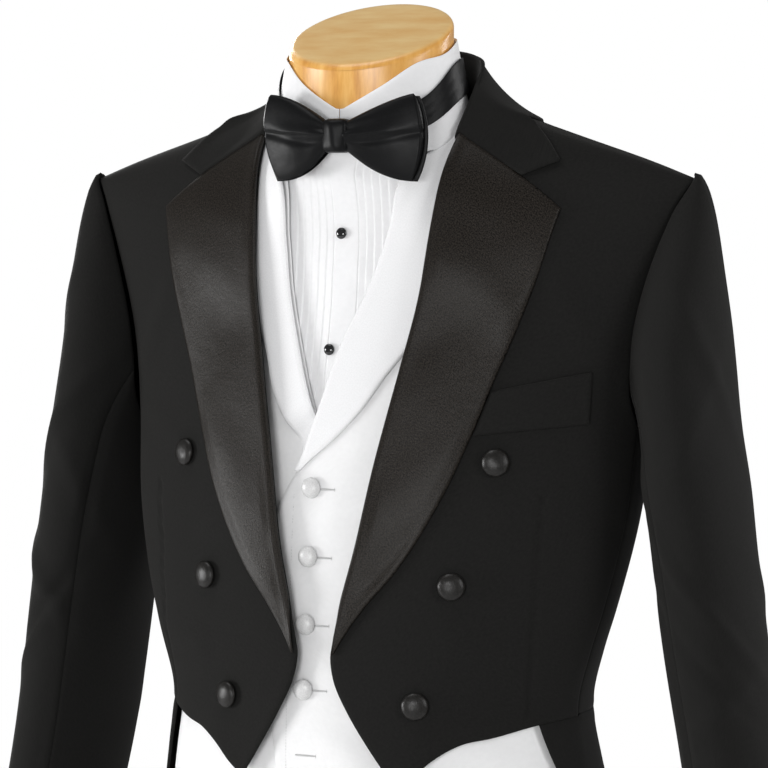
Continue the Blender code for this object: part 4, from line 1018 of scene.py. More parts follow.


# %% [markdown]
# ## Creases
#
# Worn cloth is never flat: it pulls from the armhole, softens at the elbow, and breaks above a hem. Each
# crease here is placed as a short line with its own width and height, different on the two
# sides, and a slow uneven wave lies under all of them. A cloth simulation would also crease it, but
# would move the edges that have to stay where the photograph shows them.

# %% Creases as short lines
def crease_lift(points, rows, behind=False):
    """Sum of soft ridges along lines given by across and height, on one face of the body."""
    x, y, z = points[..., 0], points[..., 1], points[..., 2]
    facing = smooth((y + 0.02) / 0.03) if behind else smooth((0.01 - y) / 0.03)
    lift = np.zeros_like(x)
    for x0, z0, x1, z1, width, height in rows:
        length = (x1 - x0) ** 2 + (z1 - z0) ** 2
        share = ((x - x0) * (x1 - x0) + (z - z0) * (z1 - z0)) / length
        held = np.clip(share, 0.0, 1.0)
        away = np.hypot(x - x0 - held * (x1 - x0), z - z0 - held * (z1 - z0))
        taper = smooth((share + 0.25) / 0.45) * smooth((1.25 - share) / 0.45)
        lift += height * taper * np.exp(-((away / width) ** 2))
    return lift * facing


def slow_wave(points, seed, height):
    """Uneven swell of the cloth, a few centimetres long."""
    chance = np.random.default_rng(seed)
    lift = np.zeros(points.shape[:-1])
    for _ in range(7):
        direction = chance.normal(size=3) * np.array((30.0, 30.0, 16.0))
        lift += np.sin(points @ direction + chance.uniform(0.0, 6.28))
    return lift * height / 2.6


# %% One call for a panel
SHEETS = []


def panel(name, function, u_values, v_values, finish, nodes, out=0.0, wall=0.002, inside=body_axis,
          side=1, closed=False, lift=None, roll=0.0005, own_side=False, gap=0.0002):
    """Cloth panel on a surface: creased by lift, and rolled in along its seams."""
    points, normals = surface(function, u_values, v_values, inside)
    u, v = np.meshgrid(np.array(u_values, float), np.array(v_values, float))
    away = border_distance(points, closed)
    base = out(u, v) if callable(out) else np.full(u.shape, float(out))
    mirrored = points * np.array((side, 1.0, 1.0))
    if lift is not None:
        base = base + lift(mirrored, u, v) * smooth(away / 0.012)
    base = base - roll * np.exp(-((away / SEAM_ROLL_WIDTH) ** 2))
    outer = inset_border(points + normals * base[..., None], gap, closed)
    inner = inset_border(points + normals * (base - wall)[..., None], gap, closed)
    for grid in (outer, inner):
        if own_side:
            grid[..., 0] = np.maximum(grid[..., 0], gap / 2.0)
        grid[..., 0] *= side
    piece = add_piece(name, cloth_mesh(name, outer, inner, closed), finish, nodes)
    declare_sheet(piece, outer, closed)
    return piece


# %% Size of a panel, measured on its finished surface
SEAM_ROLL_WIDTH = 0.0016


def declare_sheet(piece, grid, closed):
    """Measures a sheet on its own outer surface: longest row, longest column and area, kept in SHEETS."""
    around = np.concatenate([grid, grid[:, :1]], axis=1) if closed else grid
    width = float(arc_lengths(around, 1)[:, -1].max())
    length = float(arc_lengths(around, 0)[-1].max())
    a, b = around[1:, :-1] - around[:-1, :-1], around[:-1, 1:] - around[:-1, :-1]
    area = float(np.linalg.norm(np.cross(a, b), axis=-1).sum())
    SHEETS.append((piece.name, round(width, 3), round(length, 3), round(area, 4)))

# %% [markdown]
# ## Cloth finishes
#
# Worsted wool is dull because its fibres scatter light; satin shines because its long floats lie flat.
# Both are woven, so each finish gets its weave as bump, read from the UV map in metres. A photograph of
# cloth would slide and repeat, so every pattern here is computed.

# %% A small kit for materials
def new_finish(name, colour, roughness, **sockets):
    finish = bpy.data.materials.new(name)
    finish.use_nodes = True
    shader = finish.node_tree.nodes["Principled BSDF"]
    shader.inputs["Base Color"].default_value = (*colour, 1.0)
    shader.inputs["Roughness"].default_value = roughness
    for socket, value in sockets.items():
        shader.inputs[socket.replace("_", " ")].default_value = value
    return finish, finish.node_tree, shader


def node(tree, kind, **values):
    made = tree.nodes.new(kind)
    for key, value in values.items():
        if key in made.inputs:
            made.inputs[key].default_value = value
        else:
            setattr(made, key, value)
    return made


def cloth_place(tree):
    return node(tree, "ShaderNodeUVMap", uv_map="cloth").outputs["UV"]


def object_place(tree):
    return node(tree, "ShaderNodeTexCoord").outputs["Object"]


def noise(tree, place, size, detail=3.0, roughness=0.6, stretch=(1.0, 1.0, 1.0)):
    """Noise whose lumps are about size metres across."""
    mapping = node(tree, "ShaderNodeMapping")
    mapping.inputs["Scale"].default_value = stretch
    tree.links.new(place, mapping.inputs["Vector"])
    made = node(tree, "ShaderNodeTexNoise", Scale=1.0 / size, Detail=detail, Roughness=roughness)
    tree.links.new(mapping.outputs["Vector"], made.inputs["Vector"])
    return made.outputs["Fac"]


def ramp(tree, factor, stops):
    made = node(tree, "ShaderNodeValToRGB")
    elements = made.color_ramp.elements
    while len(elements) < len(stops):
        elements.new(0.5)
    for element, (position, colour) in zip(elements, stops):
        element.position = position
        element.color = (*colour, 1.0)
    tree.links.new(factor, made.inputs["Fac"])
    return made.outputs["Color"]


def bump(tree, shader, heights):
    """Chain of bumps, each a (height output, strength, distance in metres)."""
    last = None
    for height, strength, distance in heights:
        made = node(tree, "ShaderNodeBump", Strength=strength, Distance=distance)
        tree.links.new(height, made.inputs["Height"])
        if last is not None:
            tree.links.new(last, made.inputs["Normal"])
        last = made.outputs["Normal"]
    tree.links.new(last, shader.inputs["Normal"])


def grid_weave(tree, place, thread, diagonal=False):
    """Height of a plain weave, or of a twill when the rows lean."""
    waves = []
    turns = (0.785, 0.785) if diagonal else (0.0, 1.5708)
    for turn in turns:
        mapping = node(tree, "ShaderNodeMapping")
        mapping.inputs["Rotation"].default_value = (0.0, 0.0, turn)
        tree.links.new(place, mapping.inputs["Vector"])
        wave = node(tree, "ShaderNodeTexWave", Scale=0.314 / thread)
        wave.inputs["Distortion"].default_value = 0.6
        tree.links.new(mapping.outputs["Vector"], wave.inputs["Vector"])
        waves.append(wave.outputs["Fac"])
    mixed = node(tree, "ShaderNodeMath", operation="MULTIPLY")
    tree.links.new(waves[0], mixed.inputs[0])
    tree.links.new(waves[1], mixed.inputs[1])
    return mixed.outputs[0]


# %% Black worsted wool for the coat and the trousers
def wool_finish(name, low, high):
    finish, tree, shader = new_finish(name, high, 0.88, Sheen_Weight=0.025, Sheen_Roughness=0.5)
    shader.inputs["Sheen Tint"].default_value = (0.55, 0.52, 0.48, 1.0)
    shader.inputs["Specular IOR Level"].default_value = 0.16
    place = cloth_place(tree)
    fleck = noise(tree, place, 0.0022, 4.0, 0.7)
    colour = ramp(tree, fleck, ((0.30, low), (0.72, high)))
    tree.links.new(colour, shader.inputs["Base Color"])
    bump(tree, shader, (
        (noise(tree, object_place(tree), 0.030, 2.0), 0.25, 0.0012),
        (grid_weave(tree, place, 0.0007, diagonal=True), 0.35, 0.00012),
        (noise(tree, place, 0.0012, 2.0), 0.30, 0.0001),
    ))
    return finish


coat_wool = wool_finish("coat_wool_cloth", (0.0062, 0.0062, 0.0058), (0.0120, 0.0117, 0.0110))
trouser_wool = wool_finish("trouser_wool_cloth", (0.0066, 0.0066, 0.0063), (0.0125, 0.0122, 0.0118))

# %% [markdown]
# The lapel facing is silk satin: a close grain, and a soft broken sheen, because light glances off it
# in patches. A grainy roughness and two sizes of bump give that; one smooth roughness would look wet.

# %% Satins
def satin_finish(name, low, high, roughness, grain, specular, wave=0.35, sheen=0.0):
    finish, tree, shader = new_finish(name, high, roughness, Sheen_Weight=sheen)
    shader.inputs["Specular IOR Level"].default_value = specular
    place = cloth_place(tree)
    patch = noise(tree, place, 0.0011, 5.0, 0.75)
    tree.links.new(ramp(tree, patch, ((0.40, low), (0.62, high))), shader.inputs["Base Color"])
    rough = node(tree, "ShaderNodeMapRange")
    rough.inputs["To Min"].default_value = roughness - 0.06
    rough.inputs["To Max"].default_value = roughness + 0.10
    tree.links.new(noise(tree, place, 0.0022, 3.0), rough.inputs["Value"])
    tree.links.new(rough.outputs["Result"], shader.inputs["Roughness"])
    bump(tree, shader, (
        (noise(tree, object_place(tree), 0.022, 2.0, 0.5), wave, 0.0016),
        (noise(tree, place, 0.0010, 4.0, 0.7, (1.0, 0.45, 1.0)), grain, 0.00016),
    ))
    return finish


lapel_satin = satin_finish(
    "lapel_satin_cloth", (0.0018, 0.0015, 0.0012), (0.0300, 0.0252, 0.0208), 0.32, 1.0, 0.130, wave=0.20
)
button_satin = satin_finish(
    "button_satin_cloth", (0.0050, 0.0047, 0.0043), (0.0180, 0.0165, 0.0150), 0.30, 1.0, 0.30
)
tie_satin = satin_finish(
    "tie_satin_cloth", (0.0034, 0.0035, 0.0038), (0.0066, 0.0068, 0.0073), 0.36, 0.16, 0.12
)
braid_satin = satin_finish(
    "trouser_braid_cloth", (0.006, 0.006, 0.006), (0.012, 0.012, 0.012), 0.42, 0.35, 0.20
)
white_satin = satin_finish("vest_satin_cloth", (0.80, 0.80, 0.81), (0.86, 0.86, 0.87), 0.42, 0.10, 0.35)
# The vest buttons take a darker copy of the white satin: the lower colour is painted shade on the domes.
shaded_button_white = satin_finish("vest_button_cloth", (0.58, 0.58, 0.58), (0.72, 0.72, 0.72), 0.28, 0.6, 0.7)


# %% [markdown]
# White cotton shows its weave only where light grazes it. The waistcoat is a fine twill, and the shirt a
# plain weave. Both keep a little blue so that they read as white beside the black.

# %% White cottons
def cotton_finish(name, colour, thread, diagonal):
    finish, tree, shader = new_finish(name, colour, 0.78, Sheen_Weight=0.08)
    shader.inputs["Specular IOR Level"].default_value = 0.3
    place = cloth_place(tree)
    low = tuple(0.965 * channel for channel in colour)
    tree.links.new(ramp(tree, noise(tree, place, 0.004, 3.0), ((0.3, low), (0.7, colour))),
                   shader.inputs["Base Color"])
    bump(tree, shader, (
        (noise(tree, object_place(tree), 0.028, 2.0), 0.20, 0.0012),
        (grid_weave(tree, place, thread, diagonal), 0.30, 0.00012),
    ))
    return finish


vest_cotton = cotton_finish("vest_cotton_cloth", (0.87, 0.87, 0.875), 0.0007, True)
shirt_cotton = cotton_finish("shirt_cotton_cloth", (0.88, 0.88, 0.89), 0.0005, False)

# %% Thread and stud
white_thread, _, _ = new_finish("white_thread", (0.50, 0.50, 0.50), 0.6, Sheen_Weight=0.2)
black_thread, _, _ = new_finish("black_thread", (0.012, 0.012, 0.012), 0.6, Sheen_Weight=0.1)


def add_fibre(finish, size=0.0004):
    """Twist of a thread as fine bump on Object coordinates."""
    tree = finish.node_tree
    bump(tree, tree.nodes["Principled BSDF"], ((noise(tree, object_place(tree), size, 2.0), 0.4, 0.0001),))


add_fibre(white_thread)
add_fibre(black_thread)
stud_black, _, _ = new_finish("stud_polish", (0.008, 0.008, 0.009), 0.12, Coat_Weight=0.5)
add_fibre(stud_black, 0.002)

# %% [markdown]
# The neck block is turned from pale wood and varnished. Its grain runs up the block, with darker honey
# streaks on the sides and a top painted paler as painted light from above, and the varnish is a clear coat
# over the wood.

# %% Varnished wood, black paint and jersey
def wood_finish():
    finish, tree, shader = new_finish(
        "neck_wood", (0.72, 0.40, 0.15), 0.32, Coat_Weight=0.45, Coat_Roughness=0.30
    )
    place = object_place(tree)
    streak = noise(tree, place, 0.030, 5.0, 0.62, (3.2, 1.2, 0.55))
    colour = ramp(tree, streak, (
        (0.30, (0.60, 0.260, 0.045)), (0.48, (0.76, 0.385, 0.085)), (0.66, (0.86, 0.500, 0.150)),
    ))
    # Faces that turn upwards are mixed to a paler colour by the height of their normal: painted light from
    # above.
    height = node(tree, "ShaderNodeSeparateXYZ")
    geometry = node(tree, "ShaderNodeNewGeometry")
    tree.links.new(geometry.outputs["Normal"], height.inputs["Vector"])
    top = node(tree, "ShaderNodeMapRange")
    top.inputs["From Min"].default_value = 0.55
    top.inputs["From Max"].default_value = 0.90
    tree.links.new(height.outputs["Z"], top.inputs["Value"])
    top_light_mix = node(tree, "ShaderNodeMix", data_type="RGBA")
    painted_top_light = ramp(tree, noise(tree, place, 0.040, 5.0, 0.6, (1.0, 4.0, 1.0)), (
        (0.30, (0.82, 0.470, 0.140)), (0.70, (0.92, 0.640, 0.270)),
    ))
    tree.links.new(top.outputs["Result"], top_light_mix.inputs["Factor"])
    tree.links.new(colour, top_light_mix.inputs[6])
    tree.links.new(painted_top_light, top_light_mix.inputs[7])
    tree.links.new(top_light_mix.outputs[2], shader.inputs["Base Color"])
    bump(tree, shader, ((streak, 0.15, 0.0005),))
    return finish


def paint_finish():
    finish, tree, shader = new_finish("stand_paint", (0.020, 0.020, 0.021), 0.42, Metallic=0.0)
    place = object_place(tree)
    worn = ramp(
        tree, noise(tree, place, 0.05, 4.0), ((0.35, (0.016, 0.016, 0.017)), (0.75, (0.030, 0.030, 0.031)))
    )
    tree.links.new(worn, shader.inputs["Base Color"])
    bump(tree, shader, ((noise(tree, place, 0.0012, 2.0), 0.12, 0.0001),))
    return finish


def jersey_finish():
    finish, tree, shader = new_finish("form_jersey_cloth", (0.60, 0.56, 0.48), 0.9, Sheen_Weight=0.1)
    place = object_place(tree)
    knit = ramp(tree, noise(tree, place, 0.003, 3.0), ((0.3, (0.52, 0.48, 0.41)), (0.7, (0.62, 0.58, 0.50))))
    tree.links.new(knit, shader.inputs["Base Color"])
    bump(tree, shader, ((noise(tree, place, 0.0011, 2.0, 0.5, (1.0, 1.0, 2.2)), 0.4, 0.0002),))
    return finish


neck_wood = wood_finish()
stand_paint = paint_finish()
form_jersey = jersey_finish()
print(len(bpy.data.materials), "materials in the file")

# %% [markdown]
# ## The dress form
#
# A shop form has a padded torso, a turned neck block, a pole and a heavy round base. The torso hardly
# shows, so its CAD solid stays and only gets a knitted cover. The neck block is seen from above, so it
# is made again with a softly rounded rim, as rings stacked from the seat to the slanted top.

# %% Torso cover, pole and base keep their solids
for name, finish in (("form_torso", form_jersey), ("form_pole", stand_paint), ("form_base", stand_paint)):
    kept = frame["nodes"][name]
    kept.material_slots[0].material = finish
    print(name, "keeps its solid:", len(kept.data.polygons), "faces")


# %% Neck block
def neck_block_point(turn, share, shrink=1.0, drop=0.0):
    """Ring point of the neck block: share 0 at the seat, 1 at the slanted top."""
    top_z = blend(NECK_TOP_REAR_Z, NECK_TOP_FRONT_Z, (1.0 + shrink * math.cos(turn)) / 2.0)
    z = blend(NECK_SEAT_Z, top_z, share) - drop
    tuck = NECK_TUCK * (1.0 - min(share / 0.34, 1.0))
    low = neck_ring(np.array(turn), np.array(min(z, COLLAR_TOP_Z)), -(SHIRT_WALL + NECK_GAP) - tuck)
    high = np.array((NECK_RADIUS_X * math.sin(turn), NECK_TOP_Y - NECK_RADIUS_Y * math.cos(turn), z))
    point = blend(low, high, float(smooth((z - 1.50) / 0.05)))
    point[0] *= shrink
    point[1] = blend(NECK_TOP_Y, point[1], shrink)
    point[2] = z
    return point


BLOCK_SEGMENTS = 96
NECK_RIM = 0.0045


def neck_mesh():
    rings = [(share, 1.0, 0.0) for share in np.linspace(0.0, 0.93, 22)]
    for step in range(0, 7):
        bend = step / 6 * math.pi / 2
        inset = NECK_RIM * (1.0 - math.cos(bend)) / NECK_RADIUS_X
        rings.append((1.0, 1.0 - inset, NECK_RIM * (1.0 - math.sin(bend))))
    rings += [(1.0, shrink, -0.0008 * (1.0 - shrink)) for shrink in (0.80, 0.55, 0.30, 0.10)]
    vertices = []
    for share, shrink, drop in rings:
        for step in range(BLOCK_SEGMENTS):
            vertices.append(neck_block_point(2.0 * math.pi * step / BLOCK_SEGMENTS, share, shrink, drop))
    faces = []
    for ring in range(len(rings) - 1):
        for step in range(BLOCK_SEGMENTS):
            a = ring * BLOCK_SEGMENTS + step
            b = ring * BLOCK_SEGMENTS + (step + 1) % BLOCK_SEGMENTS
            faces.append((a, b, b + BLOCK_SEGMENTS, a + BLOCK_SEGMENTS))
    faces.append(tuple(range(BLOCK_SEGMENTS)))
    last = (len(rings) - 1) * BLOCK_SEGMENTS
    faces.append(tuple(last + step for step in range(BLOCK_SEGMENTS)))
    mesh = bpy.data.meshes.new("neck_block")
    mesh.from_pydata([tuple(point) for point in vertices], [], faces)
    shape = bmesh.new()
    shape.from_mesh(mesh)
    bmesh.ops.recalc_face_normals(shape, faces=shape.faces)
    shape.to_mesh(mesh)
    shape.free()
    mesh.shade_smooth()
    mesh.set_sharp_from_angle(angle=math.radians(50.0))
    return mesh


neck_piece = add_piece("neck_block", neck_mesh(), neck_wood, ["form_neck"])
print("neck block", len(neck_piece.data.polygons), "faces")

# %% [markdown]
# ## Tailcoat body
#
# A tailcoat has a front and a side body that end at the waist, a skirt that joins them to the tail, and
# a back cut in one from neck to hem. The panels meet in sunken seams, so each is rolled in a little
# along its border. Cutting one tube into strips in a texture would not give the seams any depth.

# %% Creases of the coat, placed one by one on each side
COAT_CREASES = (
    # across, height, across, height, width, lift
    (0.150, 1.395, 0.186, 1.330, 0.010, 0.0011),
    (0.128, 1.420, 0.172, 1.405, 0.013, 0.0008),
    (0.168, 1.270, 0.186, 1.205, 0.011, -0.0010),
    (0.120, 1.215, 0.168, 1.232, 0.012, 0.0009),
    (0.092, 1.132, 0.152, 1.120, 0.011, 0.0010),
    (0.090, 1.066, 0.140, 1.098, 0.010, -0.0008),
    (-0.143, 1.388, -0.182, 1.318, 0.011, 0.0012),
    (-0.120, 1.262, -0.178, 1.290, 0.013, 0.0009),
    (-0.108, 1.205, -0.170, 1.183, 0.012, -0.0009),
    (-0.100, 1.122, -0.158, 1.135, 0.012, 0.0012),
    (-0.082, 1.070, -0.140, 1.083, 0.010, 0.0007),
)
BACK_CREASES = (
    # across, height, across, height, width, lift
    (0.060, 1.400, 0.150, 1.350, 0.016, 0.0016),
    (0.030, 1.290, 0.120, 1.250, 0.015, 0.0012),
    (0.020, 1.150, 0.110, 1.128, 0.012, 0.0014),
    (0.025, 1.105, 0.118, 1.098, 0.011, -0.0012),
    (-0.050, 1.385, -0.140, 1.345, 0.016, 0.0014),
    (-0.028, 1.262, -0.128, 1.270, 0.016, 0.0013),
    (-0.024, 1.140, -0.120, 1.118, 0.012, 0.0015),
    (-0.030, 0.900, -0.060, 0.640, 0.016, 0.0020),
    (0.045, 0.930, 0.030, 0.620, 0.018, 0.0022),
    (0.105, 0.960, 0.088, 0.720, 0.014, 0.0018),
    (-0.108, 0.940, -0.096, 0.700, 0.014, 0.0016),
)
DART = ((0.1531, 1.2355), (0.1492, 1.1617), (0.1419, 1.0798))
DART_WIDTH = 0.0011
DART_DEPTH = 0.0024


def groove(points, corners, width, depth):
    """Sunken line along corners given by across and height, on both fronts."""
    x, z = np.abs(points[..., 0]), points[..., 2]
    nearest = np.full(x.shape, 1.0)
    for (x0, z0), (x1, z1) in zip(corners[:-1], corners[1:]):
        length = (x1 - x0) ** 2 + (z1 - z0) ** 2
        share = np.clip(((x - x0) * (x1 - x0) + (z - z0) * (z1 - z0)) / length, 0.0, 1.0)
        nearest = np.minimum(nearest, np.hypot(x - x0 - share * (x1 - x0), z - z0 - share * (z1 - z0)))
    return -depth * np.exp(-((nearest / width) ** 2))


FRONT_DEPTH, BACK_DEPTH, SLEEVE_DEPTH = 1.3, 1.6, 1.6


def front_lift(points, u, v):
    lift = FRONT_DEPTH * crease_lift(points, COAT_CREASES) + slow_wave(points, 11, 0.0007)
    return lift + groove(points, DART, DART_WIDTH, DART_DEPTH)


def back_lift(points, u, v):
    return BACK_DEPTH * crease_lift(points, BACK_CREASES, behind=True) + slow_wave(points, 12, 0.0010)


# %% Front, side body, back and skirt on each side
def under_lapel(u, v):
    """Front panel drawn in behind the roll of the lapel."""
    angle, height = coat_front_place(u, v)
    hidden = smooth((height - 1.118) / 0.02) * smooth((0.12 - u) / 0.12)
    return body_point(angle + 0.010 * hidden, height)


def spaced(start, end, count):
    return list(np.linspace(start, end, count))


for side, label in ((1, "left"), (-1, "right")):
    panel(
        "coat_front_%s_cloth" % label, under_lapel, spaced(0, 1, 74), spaced(0, 1, 130), coat_wool,
        ["coat_front_" + label], wall=COAT_WALL, side=side, lift=front_lift,
    )
    panel(
        "coat_side_%s_cloth" % label, coat_side, spaced(0, 1, 36), spaced(0, 1, 60), coat_wool,
        ["coat_side_" + label], wall=COAT_WALL, side=side, lift=back_lift,
    )
    panel(
        "coat_back_%s_cloth" % label, coat_back, spaced(0, 1, 52), spaced(0, 1, 190), coat_wool,
        ["coat_back_" + label], wall=COAT_WALL, side=side, lift=back_lift, own_side=True,
    )
    panel(
        "coat_skirt_%s_cloth" % label, coat_skirt, spaced(0, 1, 46), spaced(0, 1, 100), coat_wool,
        ["coat_skirt_" + label], wall=COAT_WALL, side=side, lift=back_lift,
    )
print("coat body:", len(SHEETS), "panels")

# %% [markdown]
# ## Lapels
#
# The lapel is faced with satin and rolls over at its inner edge, so it has no cut edge there. The grid
# runs flat across the lapel, then turns through half a circle round the front edge. Its outer edge
# stands a little proud of the wool, and soft swells along it break the light into patches.

# %% Lapel with a rolled inner edge
ROLL_RADIUS = 0.0022
ROLL_RISE = 0.0010
ROLL_STEPS = 9
LAPEL_SWELLS = (
    # across, height, across, height, width, lift
    (0.030, 1.200, 0.120, 1.290, 0.020, 0.0010),
    (0.060, 1.330, 0.138, 1.395, 0.022, -0.0009),
    (0.070, 1.410, 0.140, 1.350, 0.018, 0.0010),
    (0.040, 1.165, 0.075, 1.205, 0.014, -0.0008),
    (0.080, 1.455, 0.120, 1.432, 0.014, 0.0008),
    (-0.045, 1.210, -0.110, 1.290, 0.020, 0.0011),
    (-0.075, 1.340, -0.140, 1.390, 0.022, -0.0010),
    (-0.072, 1.420, -0.130, 1.440, 0.016, 0.0008),
    (-0.030, 1.160, -0.080, 1.225, 0.014, 0.0007),
)


def rolled_grids(points, normals, lift, wall):
    """Outer and inner grids with a half round added along the first column."""
    outer = points + normals * lift[..., None]
    inner = outer - normals * wall
    toward = outer[:, 0] - outer[:, 1]
    toward /= np.linalg.norm(toward, axis=-1, keepdims=True)
    width = arc_lengths(outer, 1)[:, -1]
    radius = ROLL_RADIUS * np.clip(width / 0.016, 0.25, 1.0)[:, None]
    normal = normals[:, 0]
    outer_roll, inner_roll = [], []
    for step in range(ROLL_STEPS, 0, -1):
        bend = math.pi * step / ROLL_STEPS
        facing = normal * math.cos(bend) + toward * math.sin(bend)
        centre = outer[:, 0] - normal * radius
        outer_roll.append(centre + facing * radius)
        inner_roll.append(centre + facing * (radius - np.minimum(wall, radius * 0.6)))
    outer = np.concatenate([np.stack(outer_roll, axis=1), outer], axis=1)
    inner = np.concatenate([np.stack(inner_roll, axis=1), inner], axis=1)
    return outer, inner


def lapel_place(u, v):
    """Lapel surface that starts one roll radius in from the front edge."""
    rows = np.linspace(0.0, 1.0, 60)
    across = np.linalg.norm(coat_lapel(np.ones(60), rows) - coat_lapel(np.zeros(60), rows), axis=-1)
    start = np.minimum(ROLL_RADIUS / np.maximum(across, 1e-4), 0.45)
    start = np.interp(v, rows, start)
    return coat_lapel(start + (1.0 - start) * u, v)


for side, label in ((1, "left"), (-1, "right")):
    u_values, v_values = spaced(0, 1, 52), spaced(0, 1, 150)
    points, normals = surface(lapel_place, u_values, v_values, body_axis)
    u, v = np.meshgrid(np.array(u_values), np.array(v_values))
    mirrored = points * np.array((side, 1.0, 1.0))
    away = border_distance(points, False)
    lift = LAPEL_OUT + ROLL_RISE * (1.0 - u) ** 3 + crease_lift(mirrored, LAPEL_SWELLS) * smooth(away / 0.01)
    lift += slow_wave(mirrored, 21 + side, 0.0005) - 0.0003 * np.exp(-((away / 0.0012) ** 2))
    outer, inner = rolled_grids(points, normals, lift, LAPEL_WALL)
    for grid in (outer, inner):
        grid[..., 0] *= side
    name = "coat_lapel_%s_satin" % label
    mesh = cloth_mesh(name, outer, inner)
    lapel = add_piece(name, mesh, lapel_satin, ["coat_lapel_" + label])
    declare_sheet(lapel, outer, False)
print("lapels:", SHEETS[-2:], "(piece, width, length, area)")

# %% [markdown]
# ## Collar
#
# The collar stands behind the neck, folds over, and lies on the shoulders down to the notches, where it
# meets the lapels. One grid runs round the neck from notch to notch: its first rows are the stand, its
# others the fall. Seen from the side, the fold has to be round, so the rows are closest there.

# %% Collar from notch to notch
collar_rows = [-1.0, -0.7, -0.4, -0.2, -0.08, -0.001, 0.03, 0.07, 0.12, 0.18, *spaced(0.24, NOTCH_SHARE, 10),
               *spaced(0.70, 1.0, 8)]


def collar_swell(points, u, v):
    return slow_wave(points, 31, 0.0004) * smooth(v / 0.3)


panel(
    "coat_collar_cloth", coat_collar_surface(), spaced(-1, 1, 170), collar_rows, coat_wool,
    ["coat_collar"], wall=COLLAR_WALL, inside=collar_inside, lift=collar_swell, roll=0.0003,
)

# %% [markdown]
# ## Sleeves
#
# A sleeve has a wide top half and a narrow under half. It hangs from the shoulder, so its creases run
# round it above the elbow and fall down the forearm. They are set by the turn round the sleeve and the
# height, and differ between the arms.

# %% Creases of the sleeves
SLEEVE_CREASES = {
    # turn, height, slope, round width, up width, lift
    1: ((1.2, 1.150, 0.05, 1.0, 0.010, 0.0018), (1.7, 1.122, 0.04, 0.9, 0.009, -0.0016),
        (1.4, 1.090, -0.03, 0.9, 0.011, 0.0014), (0.5, 1.330, 0.10, 0.5, 0.020, 0.0014),
        (1.0, 1.285, -0.06, 0.7, 0.016, 0.0013), (2.2, 1.215, 0.08, 0.7, 0.013, 0.0013),
        (0.2, 0.990, 0.12, 0.5, 0.030, 0.0010), (-1.0, 1.140, 0.04, 0.9, 0.013, 0.0015),
        (-1.4, 1.300, 0.08, 0.7, 0.020, 0.0016), (-0.6, 0.930, -0.05, 0.6, 0.020, 0.0012)),
    -1: ((1.3, 1.165, -0.04, 1.0, 0.011, 0.0017), (1.6, 1.132, 0.05, 0.9, 0.009, -0.0015),
         (1.1, 1.100, 0.04, 0.8, 0.012, 0.0012), (0.4, 1.350, 0.08, 0.5, 0.022, 0.0012),
         (1.2, 1.270, 0.07, 0.7, 0.016, 0.0015), (2.1, 1.225, -0.06, 0.7, 0.014, 0.0012),
         (0.3, 1.010, -0.10, 0.5, 0.028, 0.0011), (-0.9, 1.125, 0.05, 0.9, 0.013, 0.0016),
         (-1.5, 1.290, -0.06, 0.7, 0.020, 0.0014), (-0.4, 0.950, 0.06, 0.6, 0.022, 0.0012)),
}


def sleeve_lift(side):
    def lift(points, turn, along):
        height = points[..., 2]
        total = slow_wave(points, 41 + side, 0.0010)
        for middle, level, slope, round_width, up_width, rise in SLEEVE_CREASES[side]:
            away = (turn - middle + math.pi) % (2.0 * math.pi) - math.pi
            up = (height - level - slope * away) / up_width
            total = total + SLEEVE_DEPTH * rise * np.exp(-((away / round_width) ** 2) - up ** 2)
        return total
    return lift


# %% Top and under halves
front_seam, rear_seam = math.radians(FRONT_SLEEVE_SEAM), math.radians(REAR_SLEEVE_SEAM)
sleeve_rows = [*spaced(0, 0.25, 46), *spaced(0.26, 1.0, 96)]


TURNED_SEAM = 0.0014
TURNED_START, TURNED_FADE = 0.012, 0.045


def head_wall(count):
    """Wall of a sleeve: its head is thicker by the turned-in seam, which narrows the slit there."""
    share = 1.0 - smooth((np.array(sleeve_rows) - TURNED_START) / TURNED_FADE)
    return np.repeat((SLEEVE_WALL + TURNED_SEAM * share)[:, None], count, axis=1)


for side, label in ((1, "left"), (-1, "right")):
    for half, start, end, count in (("top", rear_seam - 2 * math.pi, front_seam, 76),
                                    ("under", front_seam, rear_seam, 40)):
        panel(
            "sleeve_%s_%s_cloth" % (half, label), sleeve, spaced(start, end, count), sleeve_rows, coat_wool,
            ["sleeve_%s_%s" % (half, label)], wall=head_wall(count), inside=sleeve_axis,
            side=side, lift=sleeve_lift(side),
        )
print("sleeves:", SHEETS[-4:])

# %% [markdown]
# ## Breast welt
#
# The welt is a folded strip sewn over the pocket's mouth. It is wool on wool, so only its top edge and
# its two sewn ends show.

# %% Welt strip
(welt_x0, welt_z0), (welt_x1, welt_z1), (welt_x2, welt_z2), (welt_x3, welt_z3) = WELT_CORNERS


def welt_place(u, v):
    across = blend(blend(welt_x0, welt_x1, u), blend(welt_x2, welt_x3, u), v)
    height = blend(blend(welt_z0, welt_z1, u), blend(welt_z2, welt_z3, u), v)
    return body_point(angle_at(across, height), height)


panel("breast_welt_cloth", welt_place, spaced(0, 1, 60), spaced(0, 1, 26), coat_wool,
      ["breast_welt"], out=WELT_OUT, wall=WELT_WALL, lift=front_lift, roll=0.0008)

# %% [markdown]
# ## Covered buttons
#
# A covered button is a low dome with cloth drawn over it and gathered behind. A short profile turned
# round an axis gives the dome; a faint unevenness round the rim shows that cloth is stretched over it.

# %% One covered button
BUTTON_PROFILE = (
    # share of the radius, share of the height
    (0.60, 0.00), (0.66, 0.10), (0.88, 0.13), (0.97, 0.20), (1.00, 0.32), (0.98, 0.45), (0.92, 0.58),
    (0.83, 0.70), (0.70, 0.81), (0.54, 0.90), (0.37, 0.96), (0.19, 0.99),
)
DOME_SEGMENTS = 44
COAT_BUTTON_HEIGHT = 0.0058
VEST_BUTTON_HEIGHT = 0.0052


